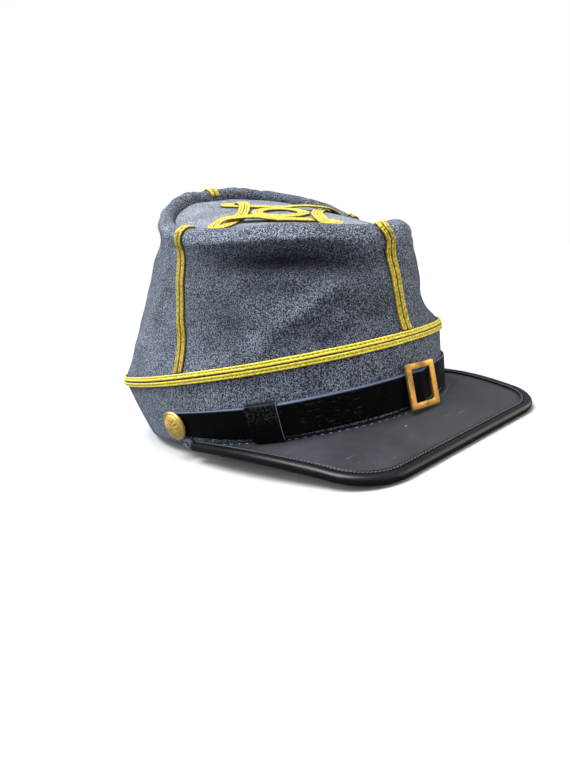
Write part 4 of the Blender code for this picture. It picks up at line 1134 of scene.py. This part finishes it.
lift *= np.sign(lift[..., 2:3])
upper, lower = sheet + lift * PEAK_THICKNESS / 2, sheet - lift * PEAK_THICKNESS / 2
# Its inner edge stands upright against the band.
at_band = PEAK_END_ANGLE * np.linspace(1, -1, PEAK_COLUMNS)
for face, above in ((upper, PEAK_THICKNESS / 2), (lower, -PEAK_THICKNESS / 2)):
    face[:, 0] = off_band(at_band, np.full(PEAK_COLUMNS, PEAK_JUNCTION + above), SNUG)
visor = laid("peak_plate", np.concatenate([upper, lower[:, ::-1]], axis=1), sew_columns=True)
fill_ends()
visor.data.materials.append(peak_leather)
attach(visor, "root")
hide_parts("visor")


# ----------------------------------------------------------------------------
# The binding: a strip of thin glossy leather folded round the peak's edge over a filler, with a row of small
# stitches in the groove that they pull along its inner edge.
binding_leather = leather_material(
    "Binding leather", (0.0030, 0.0036, 0.0045), (0.10, 0.10, 0.10), 0.34, relief=0.00003, scratches=0.2,
    gloss=0.24
)
BINDING_HALF_HEIGHT = 0.0023
slot_half = PEAK_THICKNESS / 2 + CLEAR
# shares of the half width outwards from the middle line, and of the half height
BINDING_SECTION = (
    (-1.00, 0.50), (-0.99, 0.78), (-0.92, 0.90), (-0.82, 0.86), (-0.72, 0.60), (-0.58, 0.52), (-0.44, 0.66),
    (-0.34, 0.88), (-0.08, 1.00), (0.30, 0.96), (0.66, 0.72), (0.85, 0.30), (0.85, -0.30), (0.66, -0.72),
    (0.30, -0.96), (-0.10, -1.00), (-0.60, -0.92), (-0.96, -0.80), (-1.00, -0.50),
)
BINDING_COLUMNS = 300
BINDING_CUT = 4  # columns left off at each end, where the tab is
CLOSING_ENDS = (0.62, 0.86, 0.97, 1.0)  # shares of its full size, over the first columns that are left


def rounded(piece, levels):
    """Rounds the piece just laid with a subdivision surface."""
    rounding = piece.modifiers.new("Rounding", "SUBSURF")
    rounding.levels = rounding.render_levels = levels
    bpy.ops.object.modifier_apply(modifier=rounding.name)


line, joined, out, up, half = (part[BINDING_CUT:-BINDING_CUT] for part in peak_frames(BINDING_COLUMNS))
closing = np.interp(np.arange(len(line)), range(len(CLOSING_ENDS)), CLOSING_ENDS)
closing = np.minimum(closing, closing[::-1])[:, None]
section = np.array(BINDING_SECTION)
grip = BINDING_GRIP * half / BINDING_HALF_WIDTH - CLEAR
outer = (
    line[:, None]
    + out[:, None] * (section[:, 0] * half[:, None] * closing)[..., None]
    + up[:, None] * (section[:, 1] * BINDING_HALF_HEIGHT * closing)[..., None]
)
slot_floor = [line - out * grip[:, None] * closing + up * side * slot_half for side in (-1, 1)]
binding = laid("peak_binding", np.concatenate([outer, np.stack(slot_floor, axis=1)], axis=1), sew_columns=True)
fill_ends()
rounded(binding, 1)
binding.data.materials.append(binding_leather)
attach(binding, "root")
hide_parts("visor_binding")


def stitch_row(name, frames, length, thickness, material):
    """A row of stitches, each a short rounded thread, from the place, way along the seam and way up of each."""
    bpy.ops.object.select_all(action="DESELECT")
    bpy.ops.mesh.primitive_uv_sphere_add(segments=8, ring_count=5, radius=0.5)
    stitch = bpy.context.object
    stitch.data.transform(Matrix.Rotation(math.pi / 2, 4, "Y"))
    stitch.data.transform(Matrix.Diagonal((length, thickness, thickness, 1)))
    copies = []
    for place, way, upward in frames:
        made = stitch.copy()
        made.data = stitch.data.copy()
        side = Vector(upward).cross(Vector(way)).normalized()
        over = Vector(way).cross(side).normalized()
        axes = Matrix((Vector(way).normalized(), side, over)).transposed().to_4x4()
        made.matrix_world = STANDING @ Matrix.Translation(Vector(place)) @ axes
        bpy.context.scene.collection.objects.link(made)
        copies.append(made)
    bpy.data.objects.remove(stitch)
    for made in copies:
        made.select_set(True)
    bpy.context.view_layer.objects.active = copies[0]
    bpy.ops.object.join()
    row = bpy.context.object
    row.name = name
    bpy.ops.object.transform_apply(location=True, rotation=True, scale=True)
    bpy.ops.object.shade_smooth()
    row.data.materials.append(material)
    return row


def thread_material(name, colour, roughness):
    """Waxed thread with its twist as fine light and dark."""
    made, tree, shader = plain_material(name, colour, roughness, gloss=0.25)
    twist = ramp(tree, noise(tree, object_place(tree), 2500.0, 1.0), 0.3, 0.7, 0.5, 1.3)
    feed(tree, shader, Colour=mixed(tree, 1.0, colour, twist, "MULTIPLY"))
    return made


grey_thread = thread_material("Grey thread", (0.042, 0.047, 0.055), 0.5)
BINDING_STITCHES = 190
STITCH_LENGTH = 0.0017
BINDING_STITCH_THICKNESS = 0.00085
GROOVE_IN, GROOVE_UP = 0.66, 0.72  # shares of the binding's half width and half height
STITCH_SLANT = 0.3
BARE_ENDS = slice(3, -3)  # no stitches under the tabs
line, joined, out, up, half = peak_frames(BINDING_STITCHES)
seam = line - out * (GROOVE_IN * half)[:, None] + up * (GROOVE_UP * BINDING_HALF_HEIGHT)
way = unit(unit(np.gradient(seam, axis=0)) + STITCH_SLANT * out)
frames = list(zip(seam, way, up))[BARE_ENDS]
stitches = stitch_row("binding_stitches", frames, STITCH_LENGTH, BINDING_STITCH_THICKNESS, grey_thread)
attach(stitches, "root")


# ----------------------------------------------------------------------------
# The stitching that holds the peak to the band: pale waxed thread, sewn through both. It shows as dashes that
# stray a little, just outside the junction.
pale_thread = thread_material("Pale thread", (0.13, 0.145, 0.165), 0.6)
JUNCTION_STITCHES = 61
STITCH_FROM_BAND = 0.0026
JUNCTION_STITCH_THICKNESS = 0.00055
STITCH_RISE = 0.00005  # of its middle above the leather
STRAY_ALONG, STRAY_ASIDE = 0.0003, 0.0001
line, joined, out, up, half = peak_frames(JUNCTION_STITCHES)
way_out = unit(line - joined)
seam = joined + way_out * STITCH_FROM_BAND + up * (PEAK_THICKNESS / 2 + STITCH_RISE)
way = unit(np.gradient(seam, axis=0))
dice = np.random.default_rng(3)
for toward, stray in ((way, STRAY_ALONG), (way_out, STRAY_ASIDE)):
    seam = seam + toward * dice.uniform(-stray, stray, (len(seam), 1))
frames = list(zip(seam, way, up))[BARE_ENDS]
stitches = stitch_row("peak_stitches", frames, STITCH_LENGTH, JUNCTION_STITCH_THICKNESS, pale_thread)
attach(stitches, "root")


# ----------------------------------------------------------------------------
# The chin strap: one length of glossy black leather from button to button round the front, with a pale
# bluish upper edge. Its own end comes back over it from the buckle and through the keeper.
STRAP_TOP = -0.0164
STRAP_WIDTH = 0.0153
STRAP_THICKNESS = 0.0013
STRAP_END_THICKNESS = 0.0011
STRAP_END_RISE = 0.0022
STRAP_CLIMB = 13  # degrees that it takes to rise over the keeper, and to narrow towards a button
STRAP_STEPS, TAIL_STEPS = 160, 90
END_ROUNDING, END_BLUNT = math.radians(3.5), 0.25
STRAP_PAST_BUTTON = math.radians(4.5)
END_PAST_KEEPER = math.radians(3.5)
END_PAST_BUCKLE = math.radians(5.2)
BUTTON_ANGLE = math.radians(76)
KEEPER_ANGLE = math.radians(-45.5)
KEEPER_THICKNESS = 0.001
KEEPER_ROOM = 0.0003
BUCKLE_CENTRE = (0.0028, -0.1056, -0.0236)
BUCKLE_ANGLE = 1.8  # degrees
TAIL_BOW = 0.0012  # how far the tail bows out in the buckle's window
TAIL_BOW_REACH = 2.4  # degrees


def strap_lift(angle):
    """How far the strap stands off the band: more where the keeper passes behind it."""
    room = KEEPER_THICKNESS + 2 * KEEPER_ROOM
    return CLEAR + room * bell(turn_from(angle, math.degrees(KEEPER_ANGLE)), STRAP_CLIMB)


def strap_leather_material(name, rubbed_from, rubbed_to):
    """Glossy black leather, rubbed on part of its face. Its measure across is 1 to 2 on its pale upper edge."""
    made = leather_material(
        name, (0.0020, 0.0021, 0.0024), (0.05, 0.05, 0.055), 0.34, scratches=0.35, specks=0.3, gloss=0.05
    )
    tree = made.node_tree
    measures = own_measures(tree)
    along, across = measures["X"], measures["Y"]
    rubbed = ramp(tree, along, rubbed_from, rubbed_from + 0.3)
    rubbed = maths(tree, "MULTIPLY", rubbed, ramp(tree, along, rubbed_to, rubbed_to - 0.4))
    face = node(tree, "CombineXYZ", {"X": along, "Y": across}).outputs[0]
    streaky = node(tree, "Mapping", {"Vector": face, "Scale": (2.4, 15.0, 1.0)}).outputs[0]
    peeled = ramp(tree, noise(tree, streaky, 1.0, 8.0, 0.7), 0.56, 0.70)
    laid_over(tree, maths(tree, "MULTIPLY", peeled, rubbed), (0.030, 0.032, 0.036))
    fuzz = noise(tree, object_place(tree), 1500.0, 3.0)
    pale_edge_colour = mixed(tree, fuzz, (0.026, 0.030, 0.052), (0.15, 0.165, 0.25))
    pale_edge = maths(tree, "MULTIPLY", ramp(tree, across, 0.93, 1.0), ramp(tree, across, 2.2, 2.0))
    laid_over(tree, pale_edge, pale_edge_colour)
    return made


# where each layer's face is rubbed, in hundredths of a metre from its first end
strap_leather = strap_leather_material("Strap leather", 13.0, 17.0)
tail_leather = strap_leather_material("Rubbed strap leather", 1.9, 5.4)
# share of the half width, share of the thickness outwards, measure across
STRAP_SECTION = (
    (-0.97, 0.15, -0.2), (-1.00, 0.50, -0.1), (-0.97, 0.88, 0.0), (-0.90, 1.00, 0.05), (-0.50, 1.00, 0.25),
    (0.00, 1.00, 0.50), (0.50, 1.00, 0.75), (0.90, 1.00, 0.93), (0.97, 0.90, 0.97), (1.00, 0.60, 1.3),
    (1.00, 0.30, 1.7), (0.96, 0.05, 2.0), (0.50, 0.00, 2.4), (-0.50, 0.00, 2.8),
)
FACE_MIDDLE = 5  # its row in the section


def strap_piece(name, first, last, steps, lift, thickness, width_at, leather):
    """A strap round the band between two angles. Lift gives how far its back stands off the band."""
    angles = np.linspace(first, last, steps + 1)
    near_button = bell(np.degrees(np.abs(angles) - BUTTON_ANGLE), STRAP_CLIMB)
    low = STRAP_TOP - STRAP_WIDTH + STRAP_END_RISE * near_button
    half = (STRAP_TOP - low) / 2 * width_at(angles)
    section = np.array(STRAP_SECTION)
    heights = ((low + STRAP_TOP) / 2)[:, None] + half[:, None] * section[:, 0]
    points = off_band(angles[:, None], heights, lift(angles)[:, None] + thickness * section[:, 1])
    hundredths = walked_along(points[:, FACE_MIDDLE])[:, None] * 100
    measures = np.stack(np.broadcast_arrays(hundredths, section[:, 2]), axis=-1)
    made = laid(name, points, measures, sew_columns=True)
    fill_ends()
    rounded(made, 1)
    made.data.materials.append(leather)
    return made


def rounded_ends(angles):
    """The strap narrows to a rounded end past each button."""
    return np.sqrt(np.clip((reach - np.abs(angles)) / END_ROUNDING, END_BLUNT, 1))


def tail_lift(angles):
    bowed = TAIL_BOW * bell(turn_from(angles, BUCKLE_ANGLE), TAIL_BOW_REACH)
    return strap_lift(angles) + STRAP_THICKNESS + CLEAR + bowed


reach = BUTTON_ANGLE + STRAP_PAST_BUTTON
strap = strap_piece(
    "strap", -reach, reach, STRAP_STEPS, strap_lift, STRAP_THICKNESS, rounded_ends, strap_leather
)
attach(strap, "root")
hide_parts("chin_strap")

first = KEEPER_ANGLE - END_PAST_KEEPER
last = math.asin(BUCKLE_CENTRE[0] / RING_HALF_WIDTH) + END_PAST_BUCKLE
tail = strap_piece(
    "strap_tail", first, last, TAIL_STEPS, tail_lift, STRAP_END_THICKNESS, np.ones_like, tail_leather
)
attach(tail, "root")
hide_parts("strap_end")


# ----------------------------------------------------------------------------
# The keeper: a loop of thick pebbled leather that slides on the strap and holds its tail down. The edge
# towards the buckle, where the loop is cut, is pale. A painted highlight makes the pebbles shine near its
# upper end.
KEEPER_LENGTH = 0.0142
KEEPER_GRAIN = 1100.0
KEEPER_CUT = 0.485  # in the measure that goes over the loop's outside and back through its inside
KEEPER_PAINTED_SHINE_FROM, KEEPER_PAINTED_SHINE_TO = 0.0195, 0.0230  # heights above the floor between which the pebbles get a painted highlight
KEEPER_STEPS = 9
keeper_leather = leather_material(
    "Keeper leather", (0.0020, 0.0023, 0.0026), (0.12, 0.13, 0.13), 0.30, grain=KEEPER_GRAIN, relief=0.00018,
    scratches=0.1, gloss=0.05
)
tree = keeper_leather.node_tree
place = object_place(tree)
pebbles = node(tree, "TexVoronoi", {"Vector": place, "Scale": KEEPER_GRAIN}).outputs["Distance"]
height = node(tree, "SeparateXYZ", {0: place}).outputs["Z"]
# Painted highlight: the pebbles are paler near the keeper's top.
painted_shine_near_top = ramp(tree, height, KEEPER_PAINTED_SHINE_FROM, KEEPER_PAINTED_SHINE_TO)
laid_over(tree, maths(tree, "MULTIPLY", ramp(tree, pebbles, 0.55, 0.15), painted_shine_near_top), (0.026, 0.029, 0.031))
from_cut = maths(tree, "ABSOLUTE", maths(tree, "SUBTRACT", own_measures(tree)["X"], KEEPER_CUT))
laid_over(tree, ramp(tree, from_cut, 0.024, 0.012), (0.090, 0.096, 0.108))
keeper_height = STRAP_TOP - STRAP_WIDTH / 2
keeper_radius = float(np.linalg.norm(band_point(np.array(KEEPER_ANGLE), np.array(keeper_height))[:2]))
half_turn = KEEPER_LENGTH / 2 / keeper_radius
low = KEEPER_ROOM
over_tail = strap_lift(KEEPER_ANGLE) + STRAP_THICKNESS + CLEAR + STRAP_END_THICKNESS
high = over_tail + KEEPER_ROOM + KEEPER_THICKNESS
half = STRAP_WIDTH / 2 + KEEPER_ROOM + KEEPER_THICKNESS
keeper_angles = KEEPER_ANGLE + half_turn * np.linspace(-1, 1, KEEPER_STEPS)
# round the loop, from its back over its upper edge to its face: shares of its half height and of its depth
KEEPER_LOOP = (
    (-0.6, 0.0), (0.6, 0.0), (0.96, 0.04), (1.0, 0.25), (1.0, 0.75), (0.96, 0.96), (0.6, 1.0), (0.0, 1.0),
    (-0.6, 1.0), (-0.96, 0.96), (-1.0, 0.75), (-1.0, 0.25), (-0.96, 0.04),
)


def keeper_skin(inset):
    """The loop's outside, or its inside where the inset is its thickness."""
    across, through = np.array(KEEPER_LOOP).T
    heights = keeper_height + (half - inset) * across
    depths = low + inset + (high - low - 2 * inset) * through
    return off_band(keeper_angles[:, None], heights, depths)


outside, inside = keeper_skin(0.0), keeper_skin(KEEPER_THICKNESS)
keeper = laid("keeper_loop", np.concatenate([outside, inside[::-1]]), sew_rows=True, sew_columns=True)
rounded(keeper, 2)
keeper.data.materials.append(keeper_leather)
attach(keeper, "root")
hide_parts("strap_keeper")


# ----------------------------------------------------------------------------
# The buckle: a flat square frame stamped out of sheet brass, with softened edges, round the strap and its
# tail. It is warm, lightly tarnished and rubbed.
BUCKLE_SIZE = (0.0202, 0.0214)
BUCKLE_WINDOW = (0.0128, 0.0156)
BUCKLE_THICKNESS = 0.0013
BUCKLE_CORNER = 0.0008
BUCKLE_EDGE = 0.00028
BUCKLE_LEAN = math.radians(90 - 3.9)
BUCKLE_TURN = math.radians(-3.5)


def brass_material(name, colour, tarnish_colour, roughness, metallic=1.0):
    """Brass, tarnished in patches and bright where it is rubbed."""
    made, tree, shader = plain_material(name, colour, roughness)
    shader.inputs["Metallic"].default_value = metallic
    place = object_place(tree)
    patches = noise(tree, place, 130.0, 5.0, 0.65)
    tone = mixed(tree, ramp(tree, patches, 0.42, 0.68), colour, tarnish_colour)
    dull = ramp(tree, patches, 0.35, 0.7, roughness, roughness + 0.25)
    pitted = bump(tree, noise(tree, place, 1400.0, 4.0), 0.00006, 0.25)
    feed(tree, shader, Colour=tone, Roughness=dull, Normal=pitted)
    return made


buckle_brass = brass_material("Buckle brass", (0.66, 0.37, 0.095), (0.25, 0.17, 0.05), 0.40)
bpy.ops.object.select_all(action="DESELECT")
bpy.ops.mesh.primitive_plane_add(size=1.0)
buckle = bpy.context.object
buckle.name = buckle.data.name = "buckle_frame"
bpy.ops.object.mode_set(mode="EDIT")
bpy.ops.transform.resize(value=(*BUCKLE_WINDOW, 1.0), center_override=(0, 0, 0))
bpy.ops.mesh.bevel(offset=BUCKLE_CORNER, segments=5, affect="VERTICES")
bpy.ops.mesh.delete(type="ONLY_FACE")
bpy.ops.mesh.select_mode(type="EDGE")
bpy.ops.mesh.select_all(action="SELECT")
bpy.ops.mesh.extrude_edges_move()
wider, taller = BUCKLE_SIZE[0] / BUCKLE_WINDOW[0], BUCKLE_SIZE[1] / BUCKLE_WINDOW[1]
bpy.ops.transform.resize(value=(wider, taller, 1.0), center_override=(0, 0, 0))
bpy.ops.mesh.select_all(action="SELECT")
bpy.ops.mesh.extrude_region_move(TRANSFORM_OT_translate={"value": (0, 0, BUCKLE_THICKNESS)})
bpy.ops.mesh.select_all(action="SELECT")
bpy.ops.transform.translate(value=(0, 0, -BUCKLE_THICKNESS / 2))
bpy.ops.mesh.normals_make_consistent(inside=False)
bpy.ops.mesh.select_all(action="DESELECT")
bpy.ops.mesh.edges_select_sharp(sharpness=math.radians(60))
bpy.ops.mesh.bevel(offset=BUCKLE_EDGE, segments=3, affect="EDGES")
bpy.ops.object.mode_set(mode="OBJECT")
leaning = Matrix.Rotation(BUCKLE_LEAN, 4, "X") @ Matrix.Rotation(BUCKLE_TURN, 4, "Z")
buckle.data.transform(STANDING @ Matrix.Translation(BUCKLE_CENTRE) @ leaning)
bpy.ops.object.shade_smooth_by_angle(angle=math.radians(35))
buckle.data.materials.append(buckle_brass)
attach(buckle, "root")
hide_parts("buckle")


# ----------------------------------------------------------------------------
# The two side buttons that hold the strap: domed shells stamped from sheet brass, with a plain raised rim
# and a low rosette, each sewn through the strap and the band by its shank.
button_brass = brass_material("Button brass", (0.95, 0.70, 0.20), (0.66, 0.36, 0.07), 0.27, metallic=0.72)
BUTTON_HEIGHT = -0.0226
BUTTON_RADIUS = 0.0076
BUTTON_DOME = 0.0042
# share of the radius, share of the dome
BUTTON_PROFILE = (
    (0.00, 1.00), (0.32, 0.95), (0.60, 0.80), (0.78, 0.62), (0.85, 0.47), (0.89, 0.48), (0.94, 0.54),
    (0.98, 0.48), (1.00, 0.36), (1.00, 0.22), (0.96, 0.12), (0.80, 0.00), (0.00, 0.00),
)
PETALS = 12
PETAL_HEIGHT = 0.10  # share of the dome
PETAL_PLACE, PETAL_REACH, BOSS_REACH, ROSETTE_END = 0.52, 0.13, 0.16, 0.75  # shares of the radius
DOME_ROWS, DOME_COLUMNS = 40, 64


def domed(name, angle, height, stand_off, half_across, half_up, profile, depth, squareness=2.0, petals=0.0):
    """A round-edged piece that lies on the band, from its profile, with an optional low rosette on it."""
    walked = walked_along(profile)
    stops = np.sort(np.concatenate([walked, np.linspace(0, walked[-1], DOME_ROWS)[1:-1]]))
    radius, rise = (np.interp(stops, walked, column)[:, None] for column in zip(*profile))
    turn = np.linspace(0, math.tau, DOME_COLUMNS + 1)[None, :-1]
    edge = (np.abs(np.cos(turn)) ** squareness + np.abs(np.sin(turn)) ** squareness) ** (-1 / squareness)
    leaf = np.cos(PETALS * turn) * bell(radius - PETAL_PLACE, PETAL_REACH) + bell(radius, BOSS_REACH)
    rise = rise + petals * leaf * (stops[:, None] < ROSETTE_END)
    base = off_band(np.array([angle]), np.array([height]), np.array([stand_off]))[0]
    beside, _, outward = (way[0] for way in facing(band_point, np.array([angle]), np.array([height])))
    upward = np.cross(outward, beside)
    points = (
        base
        + beside * (half_across * radius * edge * np.cos(turn))[..., None]
        + upward * (half_up * radius * edge * np.sin(turn))[..., None]
        + outward * (depth * rise)[..., None]
    )
    return laid(name, points, sew_columns=True)


for side, sign in (("right", -1), ("left", 1)):
    angle = sign * BUTTON_ANGLE
    stand_off = strap_lift(angle) + STRAP_THICKNESS + CLEAR
    button = domed(
        f"button_{side}", angle, BUTTON_HEIGHT, stand_off, BUTTON_RADIUS, BUTTON_RADIUS, BUTTON_PROFILE,
        BUTTON_DOME, petals=PETAL_HEIGHT
    )
    button.data.materials.append(button_brass)
    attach(button, "root")
    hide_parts(f"side_button_{side}")


# ----------------------------------------------------------------------------
# The peak's end tabs: a small padded square of grey leather over each end of the binding, sewn to the band
# with three short stitches of dark thread.
tab_leather = leather_material(
    "Tab leather", (0.15, 0.17, 0.20), (0.09, 0.10, 0.11), 0.5, scratches=0.5, relief=0.00008, gloss=0.35
)
dark_thread = thread_material("Dark thread", (0.004, 0.004, 0.005), 0.6)
TAB_PROFILE = (
    (0.00, 1.00), (0.40, 0.97), (0.70, 0.84), (0.88, 0.62), (0.98, 0.34), (1.00, 0.15), (0.94, 0.0), (0.0, 0.0)
)
TAB_ANGLE = math.radians(74.8)
TAB_HEIGHT = -0.0330
TAB_HALF_WIDTH, TAB_HALF_HEIGHT, TAB_DOME = 0.0037, 0.0029, 0.0024
TAB_CLEAR = 1.5 * CLEAR
TAB_STITCH_LENGTH, TAB_STITCH_THICKNESS, TAB_STITCH_RISE = 0.0014, 0.0008, 0.0025
TAB_STITCH_SLANT = 0.4
# degrees ahead of the tab's middle and height above it
TAB_STITCHES = ((0.4, 0.0013), (-0.8, 0.0009), (-1.1, -0.0003))
for side, sign in (("right", -1), ("left", 1)):
    tab = domed(
        f"tab_{side}", sign * TAB_ANGLE, TAB_HEIGHT, TAB_CLEAR, TAB_HALF_WIDTH, TAB_HALF_HEIGHT, TAB_PROFILE,
        TAB_DOME, squareness=2.3
    )
    tab.data.materials.append(tab_leather)
    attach(tab, "root")
    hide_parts(f"visor_tab_{side}")
    frames = []
    for ahead, above in TAB_STITCHES:
        stitch_angle = np.array([sign * (TAB_ANGLE + math.radians(ahead))])
        stitch_height = np.array([TAB_HEIGHT + above])
        at = off_band(stitch_angle, stitch_height, TAB_CLEAR + TAB_STITCH_RISE)[0]
        way, _, outward = (line[0] for line in facing(band_point, stitch_angle, stitch_height))
        frames.append((at, way + TAB_STITCH_SLANT * np.cross(way, outward), outward))
    threads = stitch_row(f"tab_stitches_{side}", frames, TAB_STITCH_LENGTH, TAB_STITCH_THICKNESS, dark_thread)
    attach(threads, "root")
